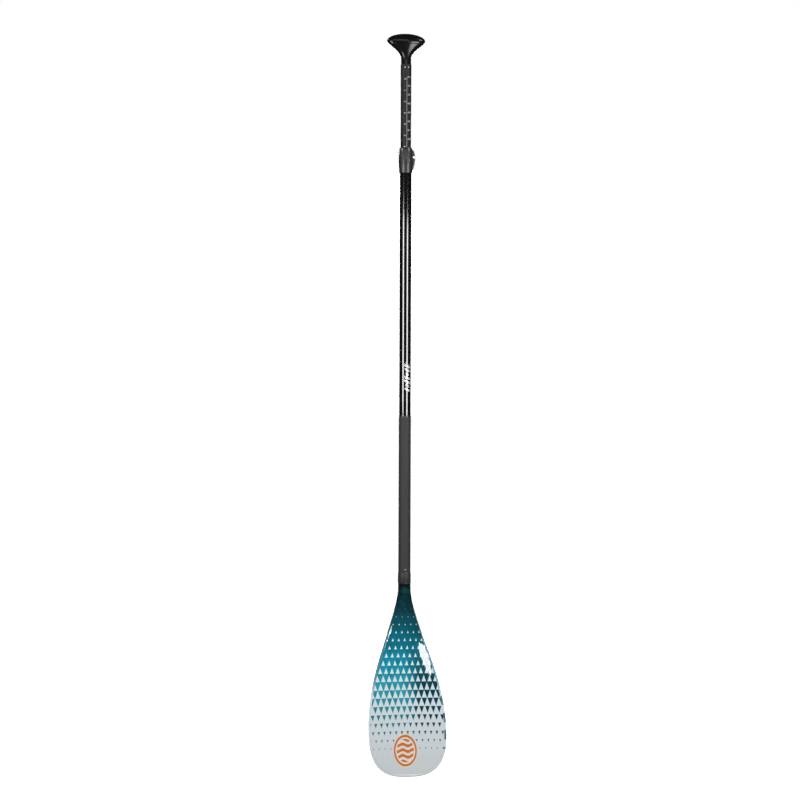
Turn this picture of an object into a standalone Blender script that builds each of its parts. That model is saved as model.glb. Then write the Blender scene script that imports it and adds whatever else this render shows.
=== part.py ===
"""Adjustable three-piece stand-up paddle: palm grip, scaled extension tube, lever clamp,
main shaft, push-button coupling and a raked foam-core blade with a moulded edge rail.

Metres, +Z up. The shaft's axis is the Z axis and the blade hangs below. X runs across the blade,
and the printed face of the blade looks towards -Y. The origin is the point of the shaft where a
hand or a rack clip holds it.
"""
import math

import bmesh
import bpy
from mathutils import Matrix, Vector

# ---------------------------------------------------------------- driving dimensions

CLEARANCE = 0.0003          # between pieces that are bonded, screwed or pressed together
SLIDE_CLEARANCE = 0.00025   # radial, between pieces that slide in each other
ROUND_SEGMENTS = 32
PAST = 0.0100               # how far a cutter runs past what it cuts

# lengths along the shaft
CLIP_ABOVE_SHAFT_END = 0.4475
COUPLING_HEIGHT = 0.0250
SHAFT_LENGTH = 0.9320
CLAMP_TOP_ABOVE_SHAFT = 0.0250
TUBE_SHOWING = 0.1885       # printed part of the extension tube, above the clamp
TUBE_HIDDEN = 0.6260        # rest of the tube, inside the clamp and the main shaft

# round sections: the main shaft is sized round the extension tube that slides in it
TUBE_RADIUS = 0.0122
TUBE_WALL = 0.0012
NEST_GAP = 0.00045          # radial, between the tube and the main shaft's bore
SHAFT_WALL = 0.00115
SPIGOT_WALL = 0.0014
COUPLING_STEP = 0.0008      # how far the coupling ring stands out from the shaft
COUPLING_BEVEL = 0.0008
NECK_BOND = 0.0004          # bond line between the spigot and the blade's skins

# palm grip
GRIP_STEM_RADIUS = 0.0113
GRIP_HALF_WIDTH = 0.0436
GRIP_HALF_DEPTH = 0.0150
GRIP_STEM_HEIGHT = 0.0085   # straight stem above the tube
GRIP_FLARE_HEIGHT = 0.0440  # stem to the widest line
GRIP_CROWN_HEIGHT = 0.0167
GRIP_NOSE_DEG = -24.0       # where the flare meets the crown's rounded edge
GRIP_PLUG_LENGTH = 0.0380

# extension tube fittings
KEY_WIDTH = 0.0030
KEY_DEPTH = 0.0006
BUSH_PLUG_LENGTH = 0.0180
BUSH_FLANGE_HEIGHT = 0.0050

# clamp
CLAMP_HEIGHT = 0.0566
CLAMP_WALL = 0.0029         # over the shaft, at the belly of the barrel
CLAMP_TOP_WALL = 0.0015     # over the tube, at the top edge
CLAMP_BOTTOM_WALL = 0.0009  # over the shaft, at the bottom edge
CLAMP_LIP_HEIGHT = 0.0038
CLAMP_SLIT = 0.0024
EAR_STEP = 0.0038           # how far the ears stand out from the barrel
EAR_TAPER = 0.0048          # how far the ear's ends draw back
EAR_ABOVE_BOLT = 0.0172
EAR_BELOW_BOLT = 0.0280
EAR_HALF_DEPTH = 0.0080
EAR_BEVEL = 0.0016
BOLT_RADIUS = 0.0018
BOLT_INSET = 0.0001         # the bolt's axis lies this far inside the barrel's belly
BOLT_BELOW_TOP = 0.0213
NUT_RADIUS = 0.0028
NUT_HEIGHT = 0.0026
NUT_END = 0.0006            # closed end of the nut, over the bolt
WASHER_RADIUS = 0.0036
WASHER_HEIGHT = 0.0012
PIN_RADIUS = 0.0017
CAM_RADIUS = 0.0047
EYE_HEIGHT = 0.0044
EYE_STEP = 0.0008           # how much smaller the bolt's eye is than the cam
FORK_STEP = 0.0012          # how far the fork's slot reaches past the cam
PIN_INSET = 0.0010          # the pin's ends lie this far inside the lever's
LEVER_HEIGHT = 0.0300
LEVER_THICKNESS = 0.0030
LEVER_GAP = 0.0012          # air between the closed lever and the collar
LEVER_FLICK = 0.0012        # how far the lever's free end stands off
LEVER_END_DEG = 128.0
SCREW_ANGLE_DEG = -69.0
SCREW_BELOW_TOP = 0.0290
SCREW_RADIUS = 0.0014
SCREW_HEAD_RADIUS = 0.0020
SCREW_HEAD_HEIGHT = 0.0008
SCREW_SEAT_DEPTH = 0.0011   # below the collar's belly
SHAFT_SLIT_LENGTH = 0.0280

# push-button coupling
SPIGOT_IN_SHAFT = 0.0930
SPIGOT_IN_NECK = 0.0400
BUTTON_RADIUS = 0.0029
BUTTON_PROUD = 0.0009
BUTTON_DOME = 0.0012
BUTTON_ABOVE_JOINT = 0.0058
BUTTON_FLANGE_RADIUS = 0.0042
BUTTON_FLANGE_HEIGHT = 0.0010
SPRING_WIDTH = 0.0060
SPRING_THICKNESS = 0.0008
SPRING_LENGTH = 0.0420
SPRING_ABOVE_BUTTON = 0.0045
SPRING_LEG_STEP = 0.0080    # how much shorter the back leg is
SEAL_SECTION_RADIUS = 0.00035
SEAL_PROUD = 0.0001         # how far the seal stands out of the spigot
SEAL_BELOW_TOP = 0.0260
SPIGOT_PLUG_LENGTH = 0.0160
SPIGOT_FLANGE_HEIGHT = 0.0020
SPIGOT_LEAD = 0.0005        # chamfer at the spigot's upper end
PLUG_LEAD = 0.0010          # chamfer that leads a plug into its tube
FLOAT_PLUG_HEIGHT = 0.0240
FLOAT_PLUG_GAP = 0.0060

# blade
BLADE_HALF_WIDTH = 0.0888
BLADE_WIDEST_AT = 0.3290    # along the blade, from the top of its neck
BLADE_TIP_ROUND = 0.1030    # along the blade, from its widest line to the tip
BLADE_CORNER_POWER = 2.75
SHOULDER_HANDLE = 0.0850
BELLY_HANDLE = 0.1400
BLADE_RAKE_DEG = 10.0
RAKE_START = 0.0300
RAKE_END = 0.1500
BLADE_SCOOP = 0.0050        # how far the blade's edges lie in front of its middle
TIP_HALF_THICKNESS = 0.0029
THIN_POWER = 2.2
SKIN_THICKNESS = 0.0012
RAIL_WIDTH = 0.0052
RAIL_END_WIDTH = 0.0010     # where the rail starts, on the blade's shoulders
RAIL_HALF_THICKNESS = 0.0022
RAIL_START = 0.0620
RAIL_FULL = 0.1500
CORE_START = 0.0460
SIDE_ROWS = 22
TIP_COLUMNS = 16
CORNER_ROWS = 5

# ---------------------------------------------------------------- sizes that follow

SHAFT_BOTTOM = -CLIP_ABOVE_SHAFT_END
COUPLING_TOP = SHAFT_BOTTOM - CLEARANCE
NECK_TOP = COUPLING_TOP - COUPLING_HEIGHT
SHAFT_TOP = SHAFT_BOTTOM + SHAFT_LENGTH
CLAMP_TOP = SHAFT_TOP + CLAMP_TOP_ABOVE_SHAFT
CLAMP_BOTTOM = CLAMP_TOP - CLAMP_HEIGHT
TUBE_TOP = CLAMP_TOP + TUBE_SHOWING
TUBE_BOTTOM = CLAMP_TOP - TUBE_HIDDEN
BOLT_Z = CLAMP_TOP - BOLT_BELOW_TOP
SCREW_Z = CLAMP_TOP - SCREW_BELOW_TOP
SHAFT_BORE = TUBE_RADIUS + NEST_GAP
SHAFT_RADIUS = SHAFT_BORE + SHAFT_WALL
TUBE_BORE = TUBE_RADIUS - TUBE_WALL
COUPLING_RADIUS = SHAFT_RADIUS + COUPLING_STEP
CLAMP_RADIUS = SHAFT_RADIUS + CLAMP_WALL
CLAMP_TOP_RADIUS = TUBE_RADIUS + CLAMP_TOP_WALL
CLAMP_BOTTOM_RADIUS = SHAFT_RADIUS + CLAMP_BOTTOM_WALL
EAR_REACH = CLAMP_RADIUS + EAR_STEP
BOLT_X = CLAMP_RADIUS - BOLT_INSET
SPIGOT_RADIUS = SHAFT_BORE - SLIDE_CLEARANCE
SPIGOT_BORE = SPIGOT_RADIUS - SPIGOT_WALL
NECK_RADIUS = SPIGOT_RADIUS + NECK_BOND + SKIN_THICKNESS
SPIGOT_TOP = SHAFT_BOTTOM + SPIGOT_IN_SHAFT
SEAL_CENTRE = SPIGOT_RADIUS + SEAL_PROUD - SEAL_SECTION_RADIUS
COLLAR_BORE = SHAFT_RADIUS + CLEARANCE
LIP_BORE = TUBE_RADIUS + SLIDE_CLEARANCE + CLEARANCE
BUTTON_Z = SHAFT_BOTTOM + BUTTON_ABOVE_JOINT
SCREW_SEAT = CLAMP_RADIUS - SCREW_SEAT_DEPTH
EAR_FACE = EAR_HALF_DEPTH + CLEARANCE
PIN_Y = EAR_FACE + WASHER_HEIGHT + CLEARANCE + CAM_RADIUS
PIN_REACH = math.hypot(BOLT_X, PIN_Y)
BLADE_LENGTH = BLADE_WIDEST_AT + BLADE_TIP_ROUND

# ---------------------------------------------------------------- colours

BLACK_PLASTIC = ((0.010, 0.010, 0.011), 0.0, 0.28)
SATIN_TUBE = ((0.012, 0.012, 0.013), 0.0, 0.38)
GREY_PLASTIC = ((0.030, 0.030, 0.034), 0.0, 0.36)
GLOSS_SHAFT = ((0.016, 0.016, 0.017), 0.0, 0.22)
RING_PLASTIC = ((0.055, 0.052, 0.052), 0.0, 0.55)
STEEL = ((0.62, 0.62, 0.63), 1.0, 0.25)
DARK_STEEL = ((0.06, 0.06, 0.065), 1.0, 0.40)
SPRING_STEEL = ((0.45, 0.45, 0.47), 1.0, 0.30)
NYLON = ((0.55, 0.55, 0.53), 0.0, 0.50)
ALLOY = ((0.40, 0.41, 0.42), 1.0, 0.35)
FOAM = ((0.72, 0.70, 0.64), 0.0, 0.90)
SEAL_RUBBER = ((0.02, 0.02, 0.02), 0.0, 0.70)
BLADE_SKIN = ((0.10, 0.42, 0.50), 0.0, 0.30)
BLADE_BACK = ((0.02, 0.16, 0.20), 0.0, 0.30)
RAIL_PLASTIC = ((0.60, 0.62, 0.62), 0.0, 0.35)


def clear_scene():
    for old in list(bpy.data.objects):
        bpy.data.objects.remove(old, do_unlink=True)


def paint(obj, finish):
    colour, metallic, roughness = finish
    material = bpy.data.materials.new(obj.name + "_material")
    material.use_nodes = True
    shader = material.node_tree.nodes["Principled BSDF"]
    shader.inputs["Base Color"].default_value = (*colour, 1.0)
    shader.inputs["Metallic"].default_value = metallic
    shader.inputs["Roughness"].default_value = roughness
    material.diffuse_color = (*colour, 1.0)
    obj.data.materials.clear()
    obj.data.materials.append(material)


def add_object(name, bm, finish=None, origin=(0.0, 0.0, 0.0)):
    """Make an object of bm, whose shape is given in world places, with its origin at origin."""
    bmesh.ops.recalc_face_normals(bm, faces=bm.faces)
    bmesh.ops.translate(bm, verts=bm.verts, vec=-Vector(origin))
    mesh = bpy.data.meshes.new(name)
    bm.to_mesh(mesh)
    bm.free()
    mesh.shade_smooth()
    mesh.set_sharp_from_angle(angle=math.radians(32))
    obj = bpy.data.objects.new(name, mesh)
    obj.location = origin
    bpy.context.scene.collection.objects.link(obj)
    if finish:
        paint(obj, finish)
    return obj


def boolean(obj, tools, operation="DIFFERENCE"):
    """Cut tools out of obj, or join them to it; the tools stay as hidden guides."""
    for number, tool in enumerate(tools):
        tool.name = f"{obj.name}_tool_{operation.lower()}_{number}"
        tool.hide_render = True
        tool.display_type = "WIRE"
        modifier = obj.modifiers.new(tool.name, "BOOLEAN")
        modifier.operation = operation
        modifier.solver = "EXACT"
        modifier.object = tool


def turned(profile, segments=ROUND_SEGMENTS):
    """A closed profile of (radius, height) points turned about Z; radius 0 makes a pole."""
    bm = bmesh.new()
    verts = [bm.verts.new((radius, 0.0, height)) for radius, height in profile]
    edges = [bm.edges.new((verts[i], verts[(i + 1) % len(verts)])) for i in range(len(verts))
             if profile[i][0] > 0.0 or profile[(i + 1) % len(verts)][0] > 0.0]
    bmesh.ops.spin(bm, geom=verts + edges, cent=(0, 0, 0), axis=(0, 0, 1),
                   angle=math.tau, steps=segments, use_merge=True)
    bmesh.ops.remove_doubles(bm, verts=bm.verts, dist=1e-7)
    return bm


def rod(radius, start, end, segments=24):
    """A plain round rod between two points."""
    start, end = Vector(start), Vector(end)
    along = end - start
    bm = bmesh.new()
    turn = along.to_track_quat("Z", "Y").to_matrix().to_4x4()
    place = Matrix.Translation((start + end) / 2) @ turn
    bmesh.ops.create_cone(bm, cap_ends=True, segments=segments, radius1=radius,
                          radius2=radius, depth=along.length, matrix=place)
    return bm


def block(low, high):
    """A box between two opposite corners."""
    bm = bmesh.new()
    size = Vector(high) - Vector(low)
    middle = (Vector(high) + Vector(low)) / 2
    place = Matrix.Translation(middle) @ Matrix.Diagonal((*size, 1.0))
    bmesh.ops.create_cube(bm, size=1.0, matrix=place)
    return bm


def slab(outline, low, high, axis="Y"):
    """A flat outline of (a, b) points extruded from low to high along Y or Z."""
    bm = bmesh.new()
    if axis == "Y":
        verts = [bm.verts.new((a, low, b)) for a, b in outline]
        travel = (0.0, high - low, 0.0)
    else:
        verts = [bm.verts.new((a, b, low)) for a, b in outline]
        travel = (0.0, 0.0, high - low)
    face = bm.faces.new(verts)
    grown = bmesh.ops.extrude_face_region(bm, geom=[face])
    moved = [item for item in grown["geom"] if isinstance(item, bmesh.types.BMVert)]
    bmesh.ops.translate(bm, verts=moved, vec=travel)
    return bm


def loft(rings):
    """Closed rings with equal numbers of points, bridged one after another and capped."""
    bm = bmesh.new()
    loops = []
    for ring in rings:
        verts = [bm.verts.new(point) for point in ring]
        loops.append([bm.edges.new((verts[i], verts[(i + 1) % len(verts)]))
                      for i in range(len(verts))])
        if len(loops) == 1 or len(loops) == len(rings):
            bm.faces.new(verts)
    for first, second in zip(loops, loops[1:]):
        bmesh.ops.bridge_loops(bm, edges=first + second)
    return bm


def bezier(p0, p1, p2, p3, steps):
    """Points along a cubic curve, both ends included."""
    points = []
    for i in range(steps + 1):
        t = i / steps
        s = 1.0 - t
        points.append(tuple(s ** 3 * a + 3 * s * s * t * b + 3 * s * t * t * c + t ** 3 * d
                            for a, b, c, d in zip(p0, p1, p2, p3)))
    return points


def ease(low, high, value):
    """0 below low, 1 above high, smooth between."""
    t = min(1.0, max(0.0, (value - low) / (high - low)))
    return t * t * (3.0 - 2.0 * t)


# ---------------------------------------------------------------- grip and extension tube

def grip_ring(half_width, half_depth, height, power, count=32):
    ring = []
    for i in range(count):
        angle = math.tau * i / count
        c, s = math.cos(angle), math.sin(angle)
        x = half_width * math.copysign(abs(c) ** (2.0 / power), c)
        y = half_depth * math.copysign(abs(s) ** (2.0 / power), s)
        ring.append((x, y, height))
    return ring


def palm_grip():
    """Moulded T grip: a round stem flares into a wide, domed crown; a plug enters the tube."""
    stem_low = TUBE_TOP + CLEARANCE
    flare_low = stem_low + GRIP_STEM_HEIGHT
    widest = flare_low + GRIP_FLARE_HEIGHT
    nose = math.radians(GRIP_NOSE_DEG)
    flare_end = (GRIP_HALF_WIDTH * math.cos(nose), widest + GRIP_CROWN_HEIGHT * math.sin(nose))
    rise = flare_end[1] - flare_low
    spread = flare_end[0] - GRIP_STEM_RADIUS
    flare = bezier((GRIP_STEM_RADIUS, flare_low),
                   (GRIP_STEM_RADIUS, flare_low + 0.50 * rise),
                   (GRIP_STEM_RADIUS + 0.61 * spread, flare_low + 0.70 * rise),
                   flare_end, 9)
    plug = TUBE_BORE - CLEARANCE
    low = stem_low - GRIP_PLUG_LENGTH
    rings = [grip_ring(plug - PLUG_LEAD, plug - PLUG_LEAD, low, 2.0),
             grip_ring(plug, plug, low + PLUG_LEAD, 2.0),
             grip_ring(plug, plug, stem_low, 2.0),
             grip_ring(GRIP_STEM_RADIUS, GRIP_STEM_RADIUS, stem_low, 2.0)]
    for half_width, height in flare:
        part = (height - flare_low) / rise
        half_depth = GRIP_STEM_RADIUS + (GRIP_HALF_DEPTH - GRIP_STEM_RADIUS) * part ** 1.5
        rings.append(grip_ring(half_width, half_depth, height, 2.0 + 0.25 * part))
    crown_steps = 7
    for i in range(1, crown_steps + 1):
        angle = nose + (math.radians(86.0) - nose) * i / crown_steps
        rings.append(grip_ring(GRIP_HALF_WIDTH * math.cos(angle),
                               GRIP_HALF_DEPTH * math.cos(angle),
                               widest + GRIP_CROWN_HEIGHT * math.sin(angle), 2.25))
    return add_object("palm_grip", loft(rings), BLACK_PLASTIC)


def extension_tube():
    """Inner tube with a keyway along its back, which stops the grip from turning."""
    bm = turned([(TUBE_BORE, TUBE_BOTTOM), (TUBE_RADIUS, TUBE_BOTTOM),
                 (TUBE_RADIUS, TUBE_TOP), (TUBE_BORE, TUBE_TOP)])
    tube = add_object("extension_tube", bm, SATIN_TUBE)
    keyway = add_object("keyway", block((-KEY_WIDTH / 2, TUBE_RADIUS - KEY_DEPTH, TUBE_BOTTOM - PAST),
                                        (KEY_WIDTH / 2, TUBE_RADIUS + PAST, TUBE_TOP + PAST)))
    boolean(tube, [keyway])
    return tube


def extension_bush():
    """Nylon end bush: its plug closes the tube's lower end, its flange runs in the shaft."""
    top = TUBE_BOTTOM - CLEARANCE
    plug = TUBE_BORE - CLEARANCE
    flange = SHAFT_BORE - SLIDE_CLEARANCE
    low, high = top - BUSH_FLANGE_HEIGHT, top + BUSH_PLUG_LENGTH
    bm = turned([(0.0, low), (flange - PLUG_LEAD, low), (flange, low + PLUG_LEAD), (flange, top),
                 (plug, top), (plug, high - PLUG_LEAD), (plug - PLUG_LEAD, high), (0.0, high)])
    return add_object("extension_bush", bm, NYLON)


# ---------------------------------------------------------------- clamp

def ear_x(height):
    """Outer face of the ears: a shallow arc, fullest at the bolt."""
    end = EAR_ABOVE_BOLT if height > BOLT_Z else EAR_BELOW_BOLT
    return EAR_REACH - EAR_TAPER * ((height - BOLT_Z) / end) ** 2


def clamp_collar():
    """Barrel collar, slit on the lever side, with an ear on each side of the slit."""
    low, high = CLAMP_BOTTOM, CLAMP_TOP
    lip = high - CLAMP_LIP_HEIGHT
    steps = 8
    barrel = []
    for i in range(steps + 1):
        part = i / steps
        end = CLAMP_BOTTOM_RADIUS + (CLAMP_TOP_RADIUS - CLAMP_BOTTOM_RADIUS) * part
        swell = math.sin(math.pi * part) ** 0.62
        barrel.append((end + (CLAMP_RADIUS - end) * swell, low + CLAMP_HEIGHT * part))
    profile = barrel + [(LIP_BORE, high), (LIP_BORE, lip), (COLLAR_BORE, lip), (COLLAR_BORE, low)]
    collar = add_object("clamp_collar", turned(profile), GREY_PLASTIC)

    root = COLLAR_BORE + CLEARANCE
    ear_height = EAR_BELOW_BOLT + EAR_ABOVE_BOLT
    heights = [BOLT_Z - EAR_BELOW_BOLT + ear_height * i / 12 for i in range(13)]
    outline = [(root, heights[0])] + [(ear_x(h), h) for h in heights] + [(root, heights[-1])]
    ears = add_object("ears", slab(outline, -EAR_HALF_DEPTH, EAR_HALF_DEPTH))
    bevel = ears.modifiers.new("ear_edges", "BEVEL")
    bevel.width = EAR_BEVEL
    bevel.segments = 2
    bevel.angle_limit = math.radians(60)
    boolean(collar, [ears], "UNION")

    back = EAR_HALF_DEPTH + PAST
    slit = add_object("slit", block((0.0, -CLAMP_SLIT / 2, low - PAST),
                                    (EAR_REACH + PAST, CLAMP_SLIT / 2, high + PAST)))
    bolt_hole = add_object("bolt_hole", rod(BOLT_RADIUS + CLEARANCE, (BOLT_X, -back, BOLT_Z),
                                            (BOLT_X, back, BOLT_Z), 20))
    spot_face = add_object("spot_face", rod(WASHER_RADIUS + CLEARANCE,
                                            (BOLT_X, EAR_HALF_DEPTH, BOLT_Z), (BOLT_X, back, BOLT_Z)))
    nut_seat = add_object("nut_seat", rod(NUT_RADIUS + CLEARANCE, (BOLT_X, -back, BOLT_Z),
                                          (BOLT_X, -EAR_HALF_DEPTH, BOLT_Z)))
    bore = add_object("bore", rod(COLLAR_BORE, (0, 0, low - PAST), (0, 0, lip), ROUND_SEGMENTS))
    cuts = [slit, bolt_hole, spot_face, nut_seat, bore]
    cuts += [add_object("screw_cut", cut) for cut in screw_cuts()]
    boolean(collar, cuts)
    return collar


def screw_line(radius):
    """A point on the fixing screw's axis at a distance from the shaft's axis."""
    angle = math.radians(SCREW_ANGLE_DEG)
    return (radius * math.cos(angle), radius * math.sin(angle), SCREW_Z)


def screw_cuts():
    """Clearance hole and counterbore for the screw that fixes the collar to the shaft."""
    outside = screw_line(CLAMP_RADIUS + PAST)
    return [rod(SCREW_RADIUS + CLEARANCE, screw_line(0.5 * SHAFT_BORE), outside, 16),
            rod(SCREW_HEAD_RADIUS + CLEARANCE, screw_line(SCREW_SEAT), outside, 16)]


def collar_screw():
    """Small screw that fixes the collar to the shaft."""
    low = SCREW_SEAT + CLEARANCE
    high = low + SCREW_HEAD_HEIGHT
    tip = TUBE_RADIUS + SLIDE_CLEARANCE + CLEARANCE
    shank = add_object("collar_screw", rod(SCREW_RADIUS, screw_line(tip),
                                           screw_line((low + high) / 2), 16), DARK_STEEL)
    head = add_object("screw_head", rod(SCREW_HEAD_RADIUS, screw_line(low), screw_line(high), 16))
    boolean(shank, [head], "UNION")
    return shank


def clamp_liner():
    """Split nylon sleeve above the shaft's end; its tongue runs in the tube's keyway."""
    low = SHAFT_TOP + CLEARANCE
    high = CLAMP_TOP - CLAMP_LIP_HEIGHT - CLEARANCE
    inner = TUBE_RADIUS + SLIDE_CLEARANCE
    bm = turned([(inner, low), (SHAFT_RADIUS, low), (SHAFT_RADIUS, high), (inner, high)])
    liner = add_object("clamp_liner", bm, NYLON)
    tongue_face = TUBE_RADIUS - KEY_DEPTH + SLIDE_CLEARANCE
    half = KEY_WIDTH / 2 - SLIDE_CLEARANCE
    tongue = add_object("tongue", block((-half, tongue_face, low),
                                        (half, (inner + SHAFT_RADIUS) / 2, high)))
    boolean(liner, [tongue], "UNION")
    slit = add_object("liner_slit", block((0.0, -CLAMP_SLIT / 2, low - PAST),
                                          (SHAFT_RADIUS + PAST, CLAMP_SLIT / 2, high + PAST)))
    boolean(liner, [slit])
    return liner


def clamp_nut():
    """Domed steel nut on the front ear."""
    hole = BOLT_RADIUS + CLEARANCE
    end = NUT_HEIGHT - NUT_END
    bm = turned([(hole, 0.0), (NUT_RADIUS, 0.0), (NUT_RADIUS, 0.6 * NUT_HEIGHT),
                 (0.7 * NUT_RADIUS, NUT_HEIGHT), (0.0, NUT_HEIGHT), (0.0, end), (hole, end)], 24)
    place = Matrix.Translation((BOLT_X, -EAR_FACE, BOLT_Z)) @ Matrix.Rotation(math.pi / 2, 4, "X")
    bmesh.ops.transform(bm, matrix=place, verts=bm.verts)
    return add_object("clamp_nut", bm, STEEL)


def clamp_bolt():
    """Eye bolt through both ears; the lever's pin passes through its eye."""
    end = -EAR_FACE - NUT_HEIGHT + NUT_END + CLEARANCE
    half = EYE_HEIGHT / 2
    eye = add_object("clamp_bolt", rod(CAM_RADIUS - EYE_STEP, (BOLT_X, PIN_Y, BOLT_Z - half),
                                       (BOLT_X, PIN_Y, BOLT_Z + half)), STEEL)
    shank = add_object("bolt_shank", rod(BOLT_RADIUS, (BOLT_X, end, BOLT_Z),
                                         (BOLT_X, PIN_Y - 0.7 * PIN_RADIUS, BOLT_Z), 20))
    boolean(eye, [shank], "UNION")
    hole = add_object("eye_hole", rod(PIN_RADIUS + SLIDE_CLEARANCE,
                                      (BOLT_X, PIN_Y, BOLT_Z - half - PAST),
                                      (BOLT_X, PIN_Y, BOLT_Z + half + PAST), 20))
    boolean(eye, [hole])
    return eye


def cam_washer():
    """Steel wear washer between the rear ear and the lever's cam."""
    bm = turned([(BOLT_RADIUS + CLEARANCE, 0.0), (WASHER_RADIUS, 0.0),
                 (WASHER_RADIUS, WASHER_HEIGHT), (BOLT_RADIUS + CLEARANCE, WASHER_HEIGHT)], 24)
    place = Matrix.Translation((BOLT_X, EAR_FACE, BOLT_Z)) @ Matrix.Rotation(-math.pi / 2, 4, "X")
    bmesh.ops.transform(bm, matrix=place, verts=bm.verts)
    return add_object("cam_washer", bm, STEEL)


def lever_pin():
    half = LEVER_HEIGHT / 2 - PIN_INSET
    bm = rod(PIN_RADIUS, (BOLT_X, PIN_Y, BOLT_Z - half), (BOLT_X, PIN_Y, BOLT_Z + half), 20)
    return add_object("lever_pin", bm, STEEL, (BOLT_X, PIN_Y, BOLT_Z))


def clamp_lever():
    """Curved lever that lies round the back of the collar, with a forked cam end."""
    half = LEVER_HEIGHT / 2
    inner = CLAMP_RADIUS + LEVER_GAP
    outer = inner + LEVER_THICKNESS
    start = math.degrees(math.atan2(PIN_Y, BOLT_X))
    # the arm leaves the cam at the cam's own radius and closes in to the collar's radius
    steps = 14
    outside, inside = [], []
    for i in range(steps + 1):
        part = i / steps
        angle = math.radians(start + (LEVER_END_DEG - start) * part)
        near_cam = 1.0 - ease(0.0, 0.42, part)
        flick = LEVER_FLICK * ease(0.80, 1.0, part)
        r_out = outer + (PIN_REACH + CAM_RADIUS - outer) * near_cam + flick
        r_in = inner + (PIN_REACH - 0.6 * CAM_RADIUS - inner) * near_cam + flick
        outside.append((r_out * math.cos(angle), r_out * math.sin(angle)))
        inside.append((r_in * math.cos(angle), r_in * math.sin(angle)))
    arm = slab(outside + inside[::-1], BOLT_Z - half, BOLT_Z + half, "Z")
    origin = (BOLT_X, PIN_Y, BOLT_Z)
    lever = add_object("clamp_lever", arm, GREY_PLASTIC, origin)
    cam = add_object("cam", rod(CAM_RADIUS, (BOLT_X, PIN_Y, BOLT_Z - half),
                                (BOLT_X, PIN_Y, BOLT_Z + half)))
    boolean(lever, [cam], "UNION")
    hole = add_object("pin_hole", rod(PIN_RADIUS + CLEARANCE, (BOLT_X, PIN_Y, BOLT_Z - half - PAST),
                                      (BOLT_X, PIN_Y, BOLT_Z + half + PAST), 20))
    gap = EYE_HEIGHT / 2 + CLEARANCE
    fork = add_object("fork", rod(CAM_RADIUS + FORK_STEP, (BOLT_X, PIN_Y, BOLT_Z - gap),
                                  (BOLT_X, PIN_Y, BOLT_Z + gap), 24))
    boolean(lever, [hole, fork])
    return lever


# ---------------------------------------------------------------- main shaft and coupling

def button_cut():
    """The button's clearance hole, from the axis out through the front."""
    return rod(BUTTON_RADIUS + SLIDE_CLEARANCE, (0, -SHAFT_RADIUS - PAST, BUTTON_Z), (0, 0, BUTTON_Z))


def main_shaft():
    """Outer tube; its top is slit so that the collar can squeeze it."""
    bm = turned([(SHAFT_BORE, SHAFT_BOTTOM), (SHAFT_RADIUS, SHAFT_BOTTOM),
                 (SHAFT_RADIUS, SHAFT_TOP), (SHAFT_BORE, SHAFT_TOP)])
    shaft = add_object("main_shaft", bm, GLOSS_SHAFT)
    slit = add_object("shaft_slit", block((0.0, -CLAMP_SLIT / 2, SHAFT_TOP - SHAFT_SLIT_LENGTH),
                                          (SHAFT_RADIUS + PAST, CLAMP_SLIT / 2, SHAFT_TOP + PAST)))
    button_hole = add_object("button_hole", button_cut())
    screw_hole = add_object("screw_hole", screw_cuts()[0])
    boolean(shaft, [slit, button_hole, screw_hole])
    return shaft


def float_plug():
    """Foam bulkhead that keeps water out of the shaft above the coupling."""
    low = SPIGOT_TOP + SPIGOT_FLANGE_HEIGHT + FLOAT_PLUG_GAP
    bm = rod(SHAFT_BORE - CLEARANCE, (0, 0, low), (0, 0, low + FLOAT_PLUG_HEIGHT), ROUND_SEGMENTS)
    return add_object("float_plug", bm, FOAM)


def coupling_ring():
    """Moulded ring on the spigot, between the shaft's end and the blade's neck."""
    inner = SPIGOT_RADIUS + CLEARANCE
    low = NECK_TOP + CLEARANCE
    edge = COUPLING_RADIUS - COUPLING_BEVEL
    bm = turned([(inner, low), (edge, low), (COUPLING_RADIUS, low + COUPLING_BEVEL),
                 (COUPLING_RADIUS, COUPLING_TOP - COUPLING_BEVEL), (edge, COUPLING_TOP),
                 (inner, COUPLING_TOP)])
    return add_object("coupling_ring", bm, RING_PLASTIC)


def blade_spigot():
    """Alloy ferrule bonded into the blade's neck; it plugs into the main shaft."""
    low = NECK_TOP - SPIGOT_IN_NECK
    groove = SPIGOT_TOP - SEAL_BELOW_TOP
    half = SEAL_SECTION_RADIUS + CLEARANCE
    floor = SEAL_CENTRE - SEAL_SECTION_RADIUS - CLEARANCE / 2
    bm = turned([(SPIGOT_BORE, low), (SPIGOT_RADIUS, low), (SPIGOT_RADIUS, groove - half),
                 (floor, groove - half), (floor, groove + half), (SPIGOT_RADIUS, groove + half),
                 (SPIGOT_RADIUS, SPIGOT_TOP - SPIGOT_LEAD),
                 (SPIGOT_RADIUS - SPIGOT_LEAD, SPIGOT_TOP),
                 (SPIGOT_BORE, SPIGOT_TOP)])
    spigot = add_object("blade_spigot", bm, ALLOY)
    boolean(spigot, [add_object("spigot_button_hole", button_cut())])
    return spigot


def spigot_seal():
    """Rubber ring in the spigot's groove."""
    height = SPIGOT_TOP - SEAL_BELOW_TOP
    count = 8
    section = [(SEAL_CENTRE + SEAL_SECTION_RADIUS * math.cos(math.tau * i / count),
                height + SEAL_SECTION_RADIUS * math.sin(math.tau * i / count))
               for i in range(count)]
    return add_object("spigot_seal", turned(section), SEAL_RUBBER)


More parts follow.
